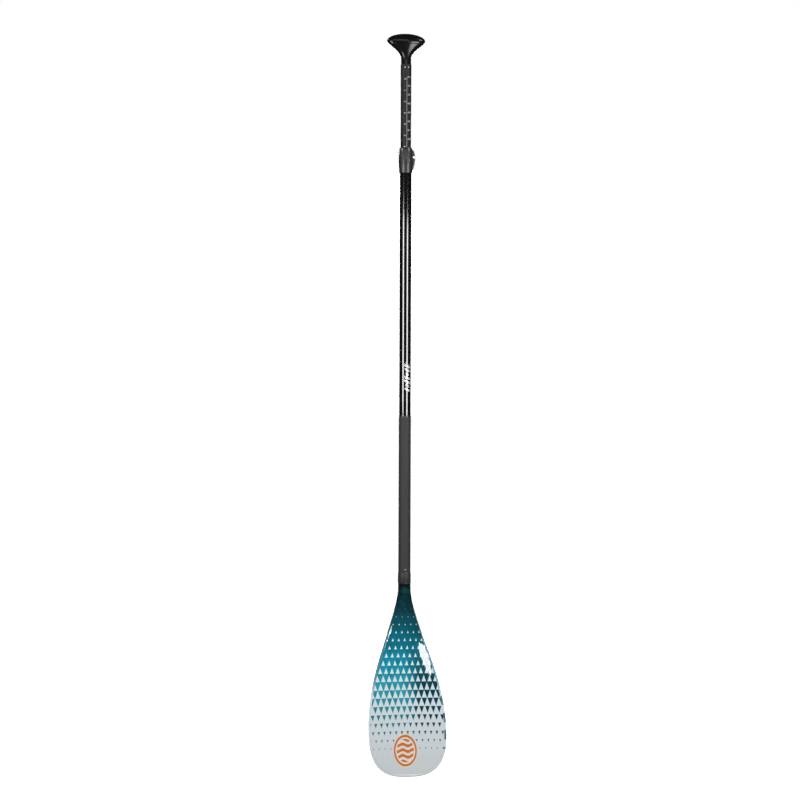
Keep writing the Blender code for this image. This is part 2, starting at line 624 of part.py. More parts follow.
def spigot_plug():
    """Plug that closes the spigot's upper end."""
    plug = SPIGOT_BORE - CLEARANCE
    low = SPIGOT_TOP - SPIGOT_PLUG_LENGTH
    seat = SPIGOT_TOP + CLEARANCE
    top = seat + SPIGOT_FLANGE_HEIGHT
    bm = turned([(0.0, low), (plug - PLUG_LEAD, low), (plug, low + PLUG_LEAD), (plug, seat),
                 (SPIGOT_RADIUS, seat), (SPIGOT_RADIUS - SPIGOT_LEAD, top), (0.0, top)])
    return add_object("spigot_plug", bm, NYLON)


def button_seat():
    """How far from the axis the button's flange can sit inside the round spigot."""
    return math.sqrt(SPIGOT_BORE ** 2 - BUTTON_FLANGE_RADIUS ** 2) - CLEARANCE


def snap_button():
    """Domed push button with a flange that the spigot's wall holds in."""
    seat = button_seat()
    top = SHAFT_RADIUS + BUTTON_PROUD
    steps = 4
    profile = [(0.0, seat - BUTTON_FLANGE_HEIGHT), (BUTTON_FLANGE_RADIUS, seat - BUTTON_FLANGE_HEIGHT),
               (BUTTON_FLANGE_RADIUS, seat), (BUTTON_RADIUS, seat)]
    for i in range(steps + 1):
        angle = math.pi / 2 * i / steps
        profile.append((BUTTON_RADIUS * math.cos(angle) if i < steps else 0.0,
                        top - BUTTON_DOME + BUTTON_DOME * math.sin(angle)))
    bm = turned(profile, 24)
    place = Matrix.Translation((0, 0, BUTTON_Z)) @ Matrix.Rotation(math.pi / 2, 4, "X")
    bmesh.ops.transform(bm, matrix=place, verts=bm.verts)
    return add_object("snap_button", bm, STEEL, (0.0, 0.0, BUTTON_Z))


def button_spring():
    """Leaf spring bent like a hairpin, which pushes the button out."""
    front = -(button_seat() - BUTTON_FLANGE_HEIGHT - CLEARANCE)
    back = math.sqrt(SPIGOT_BORE ** 2 - (SPRING_WIDTH / 2) ** 2) - CLEARANCE
    high = BUTTON_Z + SPRING_ABOVE_BUTTON
    low = high - SPRING_LENGTH
    short = high - SPRING_LEG_STEP
    middle = (front + back) / 2
    outer = (back - front) / 2
    inner = outer - SPRING_THICKNESS
    turns = [math.pi * i / 10 for i in range(11)]
    bend = [(middle - outer * math.cos(turn), low - outer * math.sin(turn)) for turn in turns]
    inside = [(middle + inner * math.cos(turn), low - inner * math.sin(turn)) for turn in turns]
    outline = [(front, high)] + bend + [(back, short), (back - SPRING_THICKNESS, short)]
    outline += inside + [(front + SPRING_THICKNESS, high)]
    bm = slab(outline, -SPRING_WIDTH / 2, SPRING_WIDTH / 2)
    bmesh.ops.rotate(bm, verts=bm.verts, cent=(0, 0, 0), matrix=Matrix.Rotation(math.pi / 2, 3, "Z"))
    return add_object("button_spring", bm, SPRING_STEEL)


# ---------------------------------------------------------------- blade

def blade_side():
    """Right-hand edge as (half width, distance along the blade), from the neck to the corner."""
    points = bezier((NECK_RADIUS, 0.0), (NECK_RADIUS, SHOULDER_HANDLE),
                    (BLADE_HALF_WIDTH, BLADE_WIDEST_AT - BELLY_HANDLE),
                    (BLADE_HALF_WIDTH, BLADE_WIDEST_AT), SIDE_ROWS - CORNER_ROWS)
    return points + [corner_point(45.0 * i / CORNER_ROWS) for i in range(1, CORNER_ROWS + 1)]


def corner_point(angle_deg):
    """A point on the superellipse that rounds the blade's end; 0 is the side, 90 the tip."""
    angle = math.radians(angle_deg)
    c, s = math.cos(angle), math.sin(angle)
    power = 2.0 / BLADE_CORNER_POWER
    return (BLADE_HALF_WIDTH * math.copysign(abs(c) ** power, c),
            BLADE_WIDEST_AT + BLADE_TIP_ROUND * abs(s) ** power)


def blade_tip():
    """Bottom edge from the left corner to the right one."""
    return [corner_point(135.0 - 90.0 * j / TIP_COLUMNS) for j in range(TIP_COLUMNS + 1)]


def perimeter():
    """The whole edge: down the left side, along the tip and up the right side."""
    side = blade_side()
    left = [(-x, u) for x, u in side]
    return left[:-1] + blade_tip() + side[::-1][1:]


def inset_edge(points, amount):
    """The edge drawn inwards; amount(u) says how far at each distance along the blade."""
    inset = []
    for k, (x, u) in enumerate(points):
        x0, u0 = points[max(k - 1, 0)]
        x1, u1 = points[min(k + 1, len(points) - 1)]
        step = math.hypot(x1 - x0, u1 - u0)
        inset.append((x + (u1 - u0) / step * amount(u), u - (x1 - x0) / step * amount(u)))
    return inset


def rake_angle(along):
    return math.radians(BLADE_RAKE_DEG) * ease(RAKE_START, RAKE_END, along)


def centre_line(along, steps=60):
    """Place of the blade's middle at a distance along it, leaning forwards from the shaft."""
    y, z = 0.0, NECK_TOP
    for i in range(steps):
        angle = rake_angle(along * (i + 0.5) / steps)
        y -= math.sin(angle) * along / steps
        z -= math.cos(angle) * along / steps
    return y, z


def blade_point(x, along, out):
    """World place of a point: across, along, and out towards the front of the blade."""
    y, z = centre_line(along)
    angle = rake_angle(along)
    flat = ease(RAKE_START, BLADE_WIDEST_AT, along)
    out += BLADE_SCOOP * flat * (x / BLADE_HALF_WIDTH) ** 2
    return (x, y - math.cos(angle) * out, z + math.sin(angle) * out)


def half_thickness(across, along):
    """Half thickness of the blade; across is 0 in the middle and 1 at the edge of the skin."""
    part = max(0.0, (along - CORE_START) / (BLADE_LENGTH - CORE_START))
    middle = TIP_HALF_THICKNESS + (NECK_RADIUS - TIP_HALF_THICKNESS) * (1.0 - part) ** THIN_POWER
    flat = ease(CORE_START, 0.55 * BLADE_WIDEST_AT, along)
    edge = CLEARANCE / 2 + (RAIL_HALF_THICKNESS - CLEARANCE / 2) * flat
    lens = max(0.0, 1.0 - across * across)
    swell = (1.0 - flat) * math.sqrt(lens) + flat * lens ** 1.4
    return edge + (middle - edge) * swell


def rail_inset(along):
    """Width of the rail, with its gap to the skins, at a distance along the blade."""
    if along < RAIL_START:
        return 0.0
    return RAIL_END_WIDTH + (RAIL_WIDTH - RAIL_END_WIDTH) * ease(RAIL_START, RAIL_FULL, along)


def blade_grid(shrink):
    """Rows of (x, along, across) points inside the rail, drawn in further by shrink.

    The columns start evenly round the neck's circle and end at the tip's own points.
    """
    edge = inset_edge(perimeter(), lambda u: rail_inset(u) + shrink)
    rows = SIDE_ROWS
    bottom = edge[rows:rows + TIP_COLUMNS + 1]
    wide, deep = abs(bottom[0][0]), bottom[0][1]
    grid = []
    for i, (x, u) in enumerate(edge[:rows + 1]):
        blend = (i / rows) ** 2
        row = []
        for j, (bx, bu) in enumerate(bottom):
            across = -math.cos(math.pi * j / TIP_COLUMNS) * (1.0 - blend) + bx / wide * blend
            row.append((abs(x) * across, u + (bu - deep) * blend * i / rows, across))
        grid.append(row)
    return grid


def grid_surface(grid, side, inward):
    """World places of a grid on the blade's front (side 1) or back (side -1), sunk by inward."""
    return [[blade_point(x, u, side * max(half_thickness(min(1.0, abs(v)), u) - inward, CLEARANCE / 2))
             for x, u, v in row] for row in grid]


def closed_shell(outer, inner):
    """One closed mesh of two grids of the same size, joined round their borders."""
    bm = bmesh.new()
    borders = []
    for surface in (outer, inner):
        verts = [[bm.verts.new(point) for point in row] for row in surface]
        for upper, lower in zip(verts, verts[1:]):
            for j in range(len(upper) - 1):
                bm.faces.new((upper[j], upper[j + 1], lower[j + 1], lower[j]))
        left = [row[0] for row in verts]
        right = [row[-1] for row in verts]
        borders.append(left[:-1] + verts[-1] + right[::-1][1:] + verts[0][::-1][1:-1])
    for k in range(len(borders[0])):
        following = (k + 1) % len(borders[0])
        bm.faces.new((borders[0][k], borders[0][following], borders[1][following], borders[1][k]))
    return bm


def blade_skin(name, side, finish):
    """Laminated half shell: it wraps half of the spigot and covers one side of the core."""
    outer = grid_surface(blade_grid(0.0), side, 0.0)
    inner = grid_surface(blade_grid(SKIN_THICKNESS), side, SKIN_THICKNESS)
    return add_object(name, closed_shell(outer, inner), finish)


def blade_core():
    """Foam core between the two skins, from below the spigot to the tip."""
    shrink = CLEARANCE + SKIN_THICKNESS
    grid = [row for row in blade_grid(shrink) if row[0][1] > CORE_START]
    front = grid_surface(grid, 1, SKIN_THICKNESS + CLEARANCE)
    back = grid_surface(grid, -1, SKIN_THICKNESS + CLEARANCE)
    return add_object("blade_core", closed_shell(front, back), FOAM)


def edge_rail():
    """Tough moulded rail round the blade, flush with both skins."""
    outline = perimeter()
    inner = inset_edge(outline, lambda u: rail_inset(u) - CLEARANCE)
    middle = inset_edge(outline, lambda u: 0.25 * rail_inset(u))
    rings = []
    for (x0, u0), (x1, u1), (x2, u2) in zip(inner, middle, outline):
        if min(u0, u2) < RAIL_START:
            continue
        thick = half_thickness(1.0, u1)
        rings.append([blade_point(x0, u0, thick), blade_point(x1, u1, thick),
                      blade_point(x2, u2, 0.45 * thick), blade_point(x2, u2, -0.45 * thick),
                      blade_point(x1, u1, -thick), blade_point(x0, u0, -thick)])
    return add_object("edge_rail", loft(rings), RAIL_PLASTIC)


# ---------------------------------------------------------------- assembly

def main():
    clear_scene()
    palm_grip()
    extension_tube()
    extension_bush()
    clamp_collar()
    collar_screw()
    clamp_liner()
    clamp_nut()
    clamp_bolt()
    cam_washer()
    lever_pin()
    clamp_lever()
    main_shaft()
    float_plug()
    coupling_ring()
    blade_spigot()
    spigot_seal()
    spigot_plug()
    snap_button()
    button_spring()
    blade_skin("blade_front_skin", 1, BLADE_SKIN)
    blade_skin("blade_back_skin", -1, BLADE_BACK)
    blade_core()
    edge_rail()


main()
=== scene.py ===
import math

import bmesh
import bpy
from mathutils import Matrix, Quaternion, Vector


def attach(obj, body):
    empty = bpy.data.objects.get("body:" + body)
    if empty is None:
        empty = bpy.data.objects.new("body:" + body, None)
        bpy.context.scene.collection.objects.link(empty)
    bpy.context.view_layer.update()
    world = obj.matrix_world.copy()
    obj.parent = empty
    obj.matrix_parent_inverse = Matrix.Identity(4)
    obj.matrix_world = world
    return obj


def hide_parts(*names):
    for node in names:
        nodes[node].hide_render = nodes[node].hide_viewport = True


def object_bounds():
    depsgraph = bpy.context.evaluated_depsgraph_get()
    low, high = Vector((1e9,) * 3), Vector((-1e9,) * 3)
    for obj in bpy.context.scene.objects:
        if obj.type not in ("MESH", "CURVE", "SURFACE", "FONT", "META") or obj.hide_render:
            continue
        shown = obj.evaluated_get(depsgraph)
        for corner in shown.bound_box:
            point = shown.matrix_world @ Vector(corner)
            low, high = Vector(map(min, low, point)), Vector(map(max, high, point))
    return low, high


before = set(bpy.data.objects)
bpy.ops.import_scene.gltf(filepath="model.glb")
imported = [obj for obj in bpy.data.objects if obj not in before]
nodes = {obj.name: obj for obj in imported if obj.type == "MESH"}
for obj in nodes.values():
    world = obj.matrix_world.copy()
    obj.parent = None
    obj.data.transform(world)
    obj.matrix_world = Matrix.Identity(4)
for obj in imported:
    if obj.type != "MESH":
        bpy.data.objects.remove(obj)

cad_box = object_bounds()


# ---------------------------------------------------------------------------- palm grip
# A T grip that the upper palm rests on, injection moulded in gloss black nylon.
# Its round stem flares into a wide crown, and its plug is bonded into the extension tube.

def new_material(name, colour, roughness, metallic=0.0, specular=0.5, **sockets):
    material = bpy.data.materials.new(name)
    material.use_nodes = True
    shader = material.node_tree.nodes["Principled BSDF"]
    shader.inputs["Base Color"].default_value = (*colour, 1.0)
    shader.inputs["Roughness"].default_value = roughness
    shader.inputs["Metallic"].default_value = metallic
    shader.inputs["Specular IOR Level"].default_value = specular
    for socket, value in sockets.items():
        shader.inputs[socket.replace("_", " ")].default_value = value
    material.diffuse_color = (*colour, 1.0)
    return material


def add(material, kind, inputs=None, **settings):
    """A new node. An input given as a socket is linked, and anything else is set."""
    made = material.node_tree.nodes.new(kind)
    for key, value in settings.items():
        setattr(made, key, value)
    for key, value in (inputs or {}).items():
        if isinstance(value, bpy.types.NodeSocket):
            material.node_tree.links.new(value, made.inputs[key])
        else:
            made.inputs[key].default_value = value
    return made


def feed(material, socket, value):
    """Links value to a socket of the material's shader."""
    shader = material.node_tree.nodes["Principled BSDF"]
    material.node_tree.links.new(value, shader.inputs[socket])


def calc(material, operation, a, b=0.0):
    return add(material, "ShaderNodeMath", {0: a, 1: b}, operation=operation).outputs[0]


def remap(material, value, low, high, to_low, to_high):
    made = add(material, "ShaderNodeMapRange", {0: value, 1: low, 2: high, 3: to_low, 4: to_high})
    return made.outputs[0]


def mixed(material, factor, first, second, blend="MIX"):
    """Two colours mixed; each may be a socket or three numbers."""
    made = add(material, "ShaderNodeMix", data_type="RGBA", blend_type=blend)
    for index, value in ((0, factor), (6, first), (7, second)):
        if isinstance(value, bpy.types.NodeSocket):
            material.node_tree.links.new(value, made.inputs[index])
        else:
            made.inputs[index].default_value = (*value, 1.0) if index else value
    return made.outputs[2]


def place_on(material, stretch=(1.0, 1.0, 1.0), shift=(0.0, 0.0, 0.0)):
    """The piece's own place in metres, stretched for a grain that runs one way."""
    where = add(material, "ShaderNodeTexCoord").outputs["Object"]
    return add(material, "ShaderNodeMapping", {0: where, 1: shift, 3: stretch}).outputs[0]


def noise(material, place, scale, detail=3.0, rough=0.55, bend=0.0):
    made = add(material, "ShaderNodeTexNoise", {"Vector": place, "Scale": scale, "Detail": detail,
                                                "Roughness": rough, "Distortion": bend})
    return made.outputs["Fac"]


def surface(material, smooth, rough, scale, stretch=(1.0, 1.0, 1.0), grain=0.00002, strength=0.4,
            fine=6.0):
    """Patches of more and less polish, and a fine relief: grain is its height in metres."""
    place = place_on(material, stretch)
    feed(material, "Roughness", remap(material, noise(material, place, scale), 0.3, 0.7, smooth, rough))
    relief = noise(material, place, scale * fine, 4.0, 0.6)
    bump = add(material, "ShaderNodeBump", {"Strength": strength, "Distance": grain, "Height": relief})
    feed(material, "Normal", bump.outputs[0])
    return bump


def tint(material, dark, light, scale, stretch=(1.0, 1.0, 1.0)):
    """Slow cloudy variation between two near colours."""
    cloud = noise(material, place_on(material, stretch), scale, 5.0, 0.6)
    feed(material, "Base Color", mixed(material, remap(material, cloud, 0.35, 0.65, 0.0, 1.0), dark, light))


def ring(bm, height, segments=96):
    made = bmesh.ops.create_circle(bm, cap_ends=False, segments=segments, radius=1.0,
                                   matrix=Matrix.Translation((0.0, 0.0, height)))
    return made["verts"]


def edges_round(verts):
    """The edges between these points only."""
    chosen = set(verts)
    return list({e for v in verts for e in v.link_edges if set(e.verts) <= chosen})


def finish_piece(name, bm, material, body, slot, *cad_nodes, sharp=35.0):
    """The mesh becomes a piece that rides on body and stands for its CAD nodes."""
    bmesh.ops.recalc_face_normals(bm, faces=bm.faces)
    mesh = bpy.data.meshes.new(name)
    bm.to_mesh(mesh)
    bm.free()
    mesh.shade_smooth()
    mesh.set_sharp_from_angle(angle=math.radians(sharp))
    mesh.materials.append(material)
    obj = bpy.data.objects.new(name, mesh)
    bpy.context.scene.collection.objects.link(obj)
    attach(obj, body)
    if cad_nodes:
        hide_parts(*cad_nodes)
    return obj


def cubic(p0, p1, p2, p3, steps):
    """Points along a cubic curve, both ends included."""
    points = []
    for i in range(steps + 1):
        t, s = i / steps, 1.0 - i / steps
        points.append(tuple(s ** 3 * a + 3 * s * s * t * b + 3 * s * t * t * c + t ** 3 * d
                            for a, b, c, d in zip(p0, p1, p2, p3)))
    return points


TUBE_RADIUS = 0.0122
TUBE_BORE = 0.0110
TUBE_TOP = 0.6980
GRIP_FOOT = TUBE_TOP + 0.0003
FLARE_LOW = GRIP_FOOT + 0.0085
WIDEST = FLARE_LOW + 0.0440
CROWN = 0.0167
STEM_RADIUS = 0.0113
GRIP_HALF_WIDTH = 0.0436
GRIP_HALF_DEPTH = 0.0150
NOSE = math.radians(-24.0)

grip_rings = [(0.0097, 0.0097, GRIP_FOOT - 0.0380, 2.0), (0.0107, 0.0107, GRIP_FOOT - 0.0370, 2.0),
              (0.0107, 0.0107, GRIP_FOOT, 2.0), (STEM_RADIUS - 0.0003, STEM_RADIUS - 0.0003, GRIP_FOOT, 2.0),
              (STEM_RADIUS, STEM_RADIUS, GRIP_FOOT + 0.0003, 2.0)]
flare_end = (GRIP_HALF_WIDTH * math.cos(NOSE), WIDEST + CROWN * math.sin(NOSE))
rise, spread = flare_end[1] - FLARE_LOW, flare_end[0] - STEM_RADIUS
for half_width, height in cubic((STEM_RADIUS, FLARE_LOW), (STEM_RADIUS, FLARE_LOW + 0.50 * rise),
                                (STEM_RADIUS + 0.61 * spread, FLARE_LOW + 0.70 * rise), flare_end, 30):
    part = (height - FLARE_LOW) / rise
    grip_rings.append((half_width, STEM_RADIUS + (GRIP_HALF_DEPTH - STEM_RADIUS) * part ** 1.5, height,
                       2.0 + 0.25 * part))
for i in range(1, 23):
    angle = NOSE + (math.radians(88.0) - NOSE) * i / 22
    grip_rings.append((GRIP_HALF_WIDTH * math.cos(angle), GRIP_HALF_DEPTH * math.cos(angle),
                       WIDEST + CROWN * math.sin(angle), 2.25))

grip = bmesh.new()
last = None
for half_width, half_depth, height, power in grip_rings:
    verts = ring(grip, height)
    for v in verts:
        v.co.x = half_width * math.copysign(abs(v.co.x) ** (2.0 / power), v.co.x)
        v.co.y = half_depth * math.copysign(abs(v.co.y) ** (2.0 / power), v.co.y)
    if last:
        bmesh.ops.bridge_loops(grip, edges=edges_round(last) + edges_round(verts))
    else:
        grip.faces.new(verts)
    last = verts
grip.faces.new(last)

grip_nylon = new_material("gloss_black_nylon", (0.006, 0.006, 0.007), 0.16, specular=0.10)
surface(grip_nylon, 0.12, 0.21, 55.0, grain=0.00002, strength=0.12, fine=14.0)
tint(grip_nylon, (0.0050, 0.0050, 0.0056), (0.0080, 0.0078, 0.0078), 30.0)
finish_piece("palm_grip_moulding", grip, grip_nylon, "extension", "grip_plastic", "palm_grip")


# ---------------------------------------------------------------------------- extension tube
# A pultruded fibre tube with a satin black lacquer, printed with centimetre and inch scales.
# A keyway along its back stops it from turning, and a nylon bush is pressed into its lower end.

TUBE_BOTTOM = -0.1165
KEY_HALF = 0.0015
KEY_FLOOR = TUBE_RADIUS - 0.0006


def spun(profile, segments=96):
    """A closed profile of (radius, height) turned about Z; radius 0 makes a pole."""
    bm = bmesh.new()
    verts = [bm.verts.new((radius, 0.0, height)) for radius, height in profile]
    pairs = zip(verts, verts[1:] + verts[:1])
    edges = [bm.edges.new(pair) for pair in pairs if max(pair[0].co.x, pair[1].co.x) > 0.0]
    bmesh.ops.spin(bm, geom=verts + edges, cent=(0, 0, 0), axis=(0, 0, 1), angle=math.tau,
                   steps=segments, use_merge=True)
    bmesh.ops.remove_doubles(bm, verts=bm.verts, dist=1e-7)
    bmesh.ops.recalc_face_normals(bm, faces=bm.faces)
    return bm


tube = spun([(TUBE_BORE, TUBE_BOTTOM), (TUBE_RADIUS - 0.0003, TUBE_BOTTOM),
             (TUBE_RADIUS, TUBE_BOTTOM + 0.0003), (TUBE_RADIUS, TUBE_TOP - 0.0002),
             (TUBE_RADIUS - 0.0002, TUBE_TOP), (TUBE_BORE, TUBE_TOP)])
for edge in (-KEY_HALF, -KEY_HALF + 0.0001, KEY_HALF - 0.0001, KEY_HALF):
    bmesh.ops.bisect_plane(tube, geom=tube.verts[:] + tube.edges[:] + tube.faces[:], dist=1e-7,
                           plane_co=(edge, 0, 0), plane_no=(1, 0, 0))
for v in tube.verts:
    if v.co.y > KEY_FLOOR and abs(v.co.x) < KEY_HALF - 0.00005:
        v.co.y = KEY_FLOOR

tube_lacquer = new_material("satin_black_tube_lacquer", (0.008, 0.008, 0.009), 0.36, specular=0.12)
surface(tube_lacquer, 0.30, 0.44, 260.0, (1.0, 1.0, 0.05), 0.00002, 0.30, 5.0)
tint(tube_lacquer, (0.006, 0.006, 0.007), (0.0110, 0.0105, 0.0105), 300.0, (1.0, 1.0, 0.04))
finish_piece("scaled_extension_tube", tube, tube_lacquer, "extension", "satin_tube", "extension_tube")

bush_nylon = new_material("natural_nylon", (0.55, 0.55, 0.52), 0.5, specular=0.45)
surface(bush_nylon, 0.42, 0.58, 120.0, grain=0.00003)
tint(bush_nylon, (0.50, 0.49, 0.46), (0.60, 0.60, 0.57), 60.0)


def paint_node(name, material):
    mesh = nodes[name].data
    if mesh.materials:
        mesh.materials[0] = material
    else:
        mesh.materials.append(material)


paint_node("extension_bush", bush_nylon)

# the two scales: figures in centimetres on the right of a long line and in inches on the left
PRINT_FRONT = TUBE_RADIUS + 0.00004
CM_TOP = 0.6688
CM_STEP = 0.0200
INCH_TOP = 0.6640
INCH_STEP = 0.0254
LINE_ACROSS = -0.0002
LINE_FOOT = 0.5113
HEADER_Z = 0.6905
FIRST_CM = 152
FIRST_INCH = 60


def printed_bar(bm, across, height, width, tall, lean=0.0):
    """A flat bar in the plane of the print: across is X and height is Y until it is wrapped."""
    place = Matrix.Translation((across, height, 0.0)) @ Matrix.Diagonal((width, tall, 1.0, 1.0))
    made = bmesh.ops.create_grid(bm, x_segments=1, y_segments=1, size=0.5, matrix=place)
    for v in made["verts"]:
        v.co.x += lean * (v.co.y - height)


def printed_figures(bm, words, across, height, size):
    """Plain figures, sheared a little and centred on their place."""
    curve = bpy.data.curves.new("figures", "FONT")
    curve.body = words
    curve.size = size
    curve.shear = 0.30
    curve.offset = 0.035 * size
    curve.align_x = "CENTER"
    curve.align_y = "CENTER"
    curve.resolution_u = 3
    obj = bpy.data.objects.new("figures", curve)
    bpy.context.scene.collection.objects.link(obj)
    bpy.context.view_layer.update()
    flat = obj.evaluated_get(bpy.context.evaluated_depsgraph_get()).to_mesh()
    flat.transform(Matrix.Translation((across, height, 0.0)))
    bm.from_mesh(flat)
    bpy.data.objects.remove(obj)
    bpy.data.curves.remove(curve)


def wrap_print(bm, radius, reach, thick=0.00003):
    """Wraps a flat print round the front of a tube and gives it the thickness of ink."""
    for i in range(-reach, reach + 1):
        bmesh.ops.bisect_plane(bm, geom=bm.verts[:] + bm.edges[:] + bm.faces[:], dist=1e-7,
                               plane_co=(i * 0.0006, 0, 0), plane_no=(1, 0, 0))
    bmesh.ops.remove_doubles(bm, verts=bm.verts, dist=1e-7)
    ink = bmesh.ops.extrude_face_region(bm, geom=bm.faces[:])
    grown = {item for item in ink["geom"] if isinstance(item, bmesh.types.BMVert)}
    for v in bm.verts:
        turn = v.co.x / radius
        out = radius - (0.0 if v in grown else thick)
        v.co = (out * math.sin(turn), -out * math.cos(turn), v.co.y)


scale_print = bmesh.new()
printed_bar(scale_print, LINE_ACROSS, (CM_TOP + LINE_FOOT) / 2, 0.0006, CM_TOP - LINE_FOOT)
for i in range(9):
    height = CM_TOP - CM_STEP * i
    printed_bar(scale_print, LINE_ACROSS + 0.0011, height, 0.0022, 0.0007)
    printed_figures(scale_print, str(FIRST_CM + 2 * i), LINE_ACROSS + 0.0054, height, 0.0048)
for i in range(33):
    printed_bar(scale_print, LINE_ACROSS + 0.0006, CM_TOP - CM_STEP * i / 4, 0.0012, 0.0003)
for i in range(7):
    height = INCH_TOP - INCH_STEP * i
    printed_bar(scale_print, LINE_ACROSS - 0.0007, height, 0.0014, 0.0004)
    printed_figures(scale_print, str(FIRST_INCH + i), LINE_ACROSS - 0.0048, height, 0.0038)
for across in (-0.0040, 0.0040):
    printed_bar(scale_print, across, HEADER_Z, 0.0032, 0.0028, 0.3)
wrap_print(scale_print, PRINT_FRONT, 20)

pale_ink = new_material("pale_pad_printed_ink", (0.55, 0.55, 0.53), 0.55, specular=0.3)
worn = noise(pale_ink, place_on(pale_ink), 900.0, 5.0, 0.7)
feed(pale_ink, "Base Color", mixed(pale_ink, remap(pale_ink, worn, 0.34, 0.52, 0.0, 1.0),
                                   (0.16, 0.16, 0.16), (0.62, 0.62, 0.60)))
feed(pale_ink, "Roughness", remap(pale_ink, worn, 0.3, 0.7, 0.65, 0.45))
finish_piece("scale_print", scale_print, pale_ink, "extension", "satin_tube")


# ---------------------------------------------------------------------------- main shaft
# A straight laminated tube, gloss lacquered over most of its length and left satin at its lower
# end. Its top is slit for the clamp, and a foam bulkhead is glued inside above the coupling.

SHAFT_RADIUS = 0.0138
SHAFT_BORE = 0.01265
SHAFT_BOTTOM = -0.4475
SHAFT_TOP = 0.4845
BUTTON_Z = SHAFT_BOTTOM + 0.0058
BUTTON_RADIUS = 0.0029
SLIT_HALF = 0.0012


def rod(radius, start, end, segments=48):
    """A plain round solid between two points."""
    start, end = Vector(start), Vector(end)
    turn = (end - start).to_track_quat("Z", "Y").to_matrix().to_4x4()
    bm = bmesh.new()
    bmesh.ops.create_cone(bm, cap_ends=True, segments=segments, radius1=radius, radius2=radius,
                          depth=(end - start).length,
                          matrix=Matrix.Translation((start + end) / 2) @ turn)
    return bm


def block(low, high):
    bm = bmesh.new()
    size = Vector(high) - Vector(low)
    bmesh.ops.create_cube(bm, size=1.0, matrix=Matrix.Translation((Vector(high) + Vector(low)) / 2)
                          @ Matrix.Diagonal((*size, 1.0)))
    return bm


def shaped(solid, joined=(), cut=(), edge=0.0, segments=2):
    """A solid with others joined to it and cut out of it, and its sharp edges broken."""
    made = []

    def stand_in(bm):
        mesh = bpy.data.meshes.new("shaping")
        bm.to_mesh(mesh)
        bm.free()
        obj = bpy.data.objects.new("shaping", mesh)
        bpy.context.scene.collection.objects.link(obj)
        made.append(obj)
        return obj

    target = stand_in(solid)
    for operation, tools in (("UNION", joined), ("DIFFERENCE", cut)):
        for tool in tools:
            modifier = target.modifiers.new("shape", "BOOLEAN")
            modifier.operation = operation
            modifier.solver = "EXACT"
            modifier.object = stand_in(tool)
    if edge:
        bevel = target.modifiers.new("edge", "BEVEL")
        bevel.width = edge
        bevel.segments = segments
        bevel.angle_limit = math.radians(38)
    bpy.context.view_layer.update()
    result = bmesh.new()
    result.from_mesh(target.evaluated_get(bpy.context.evaluated_depsgraph_get()).to_mesh())
    for obj in made:
        bpy.data.objects.remove(obj)
    bmesh.ops.remove_doubles(result, verts=result.verts, dist=1e-7)
    return result


shaft = spun([(SHAFT_BORE, SHAFT_BOTTOM), (SHAFT_RADIUS - 0.0002, SHAFT_BOTTOM),
              (SHAFT_RADIUS, SHAFT_BOTTOM + 0.0002), (SHAFT_RADIUS, SHAFT_TOP - 0.0003),
              (SHAFT_RADIUS - 0.0003, SHAFT_TOP), (SHAFT_BORE, SHAFT_TOP)], 128)
shaft = shaped(shaft, cut=[block((0, -SLIT_HALF, SHAFT_TOP - 0.028), (0.03, SLIT_HALF, SHAFT_TOP + 0.01)),
                           rod(BUTTON_RADIUS + 0.00025, (0, -0.03, BUTTON_Z), (0, 0, BUTTON_Z))])

# gloss above, satin below, with a plain printed mark of slanting bars part of the way down
GLOSS_END = -0.0960
MARK_LOW, MARK_HIGH = -0.0370, 0.0250
MARK_CENTRE = 0.0026
BAR_PITCH = 0.0088
shaft_lacquer = new_material("black_laminate_lacquer", (0.006, 0.006, 0.006), 0.12, specular=0.35)
m = shaft_lacquer
where = add(m, "ShaderNodeTexCoord").outputs["Object"]
xyz = add(m, "ShaderNodeSeparateXYZ", {0: where}).outputs
round_it = calc(m, "ARCTAN2", xyz[0], calc(m, "MULTIPLY", xyz[1], -1.0))
across = calc(m, "MULTIPLY", round_it, SHAFT_RADIUS)
satin = remap(m, xyz[2], GLOSS_END - 0.004, GLOSS_END + 0.004, 1.0, 0.0)
fibre = noise(m, place_on(m, (1.0, 1.0, 0.03)), 700.0, 4.0, 0.65)
cloud = noise(m, place_on(m, (1.0, 1.0, 0.15)), 90.0, 3.0, 0.5)
lean = calc(m, "ADD", xyz[2], calc(m, "MULTIPLY", across, 0.45))
in_mark = calc(m, "SUBTRACT", lean, MARK_LOW)
turns = calc(m, "FRACT", calc(m, "DIVIDE", in_mark, BAR_PITCH))
row = calc(m, "FLOOR", calc(m, "DIVIDE", in_mark, BAR_PITCH))
half_bar = add(m, "ShaderNodeTexWhiteNoise", {"W": row}, noise_dimensions="1D").outputs[0]
half_bar = remap(m, half_bar, 0.0, 1.0, 0.0036, 0.0074)
inside = calc(m, "LESS_THAN", calc(m, "ABSOLUTE", calc(m, "SUBTRACT", across, MARK_CENTRE)), half_bar)
bars = calc(m, "MULTIPLY", calc(m, "LESS_THAN", turns, 0.62), inside)
bars = calc(m, "MULTIPLY", bars, calc(m, "GREATER_THAN", lean, MARK_LOW))
bars = calc(m, "MULTIPLY", bars, calc(m, "LESS_THAN", lean, MARK_HIGH))
bars = calc(m, "MULTIPLY", bars, calc(m, "LESS_THAN", xyz[1], 0.0))
dark = mixed(m, fibre, (0.0018, 0.0018, 0.0020), (0.0052, 0.0050, 0.0048))
warm = mixed(m, fibre, (0.011, 0.0105, 0.0105), (0.021, 0.0200, 0.0200))
# below the gloss the base colour is also made lighter and warmer
body_colour = mixed(m, satin, dark, warm)
feed(m, "Base Color", mixed(m, bars, body_colour, (0.80, 0.80, 0.79)))
polish = remap(m, cloud, 0.3, 0.7, 0.07, 0.12)
flat = remap(m, fibre, 0.3, 0.7, 0.66, 0.80)
gap = calc(m, "SUBTRACT", flat, polish)
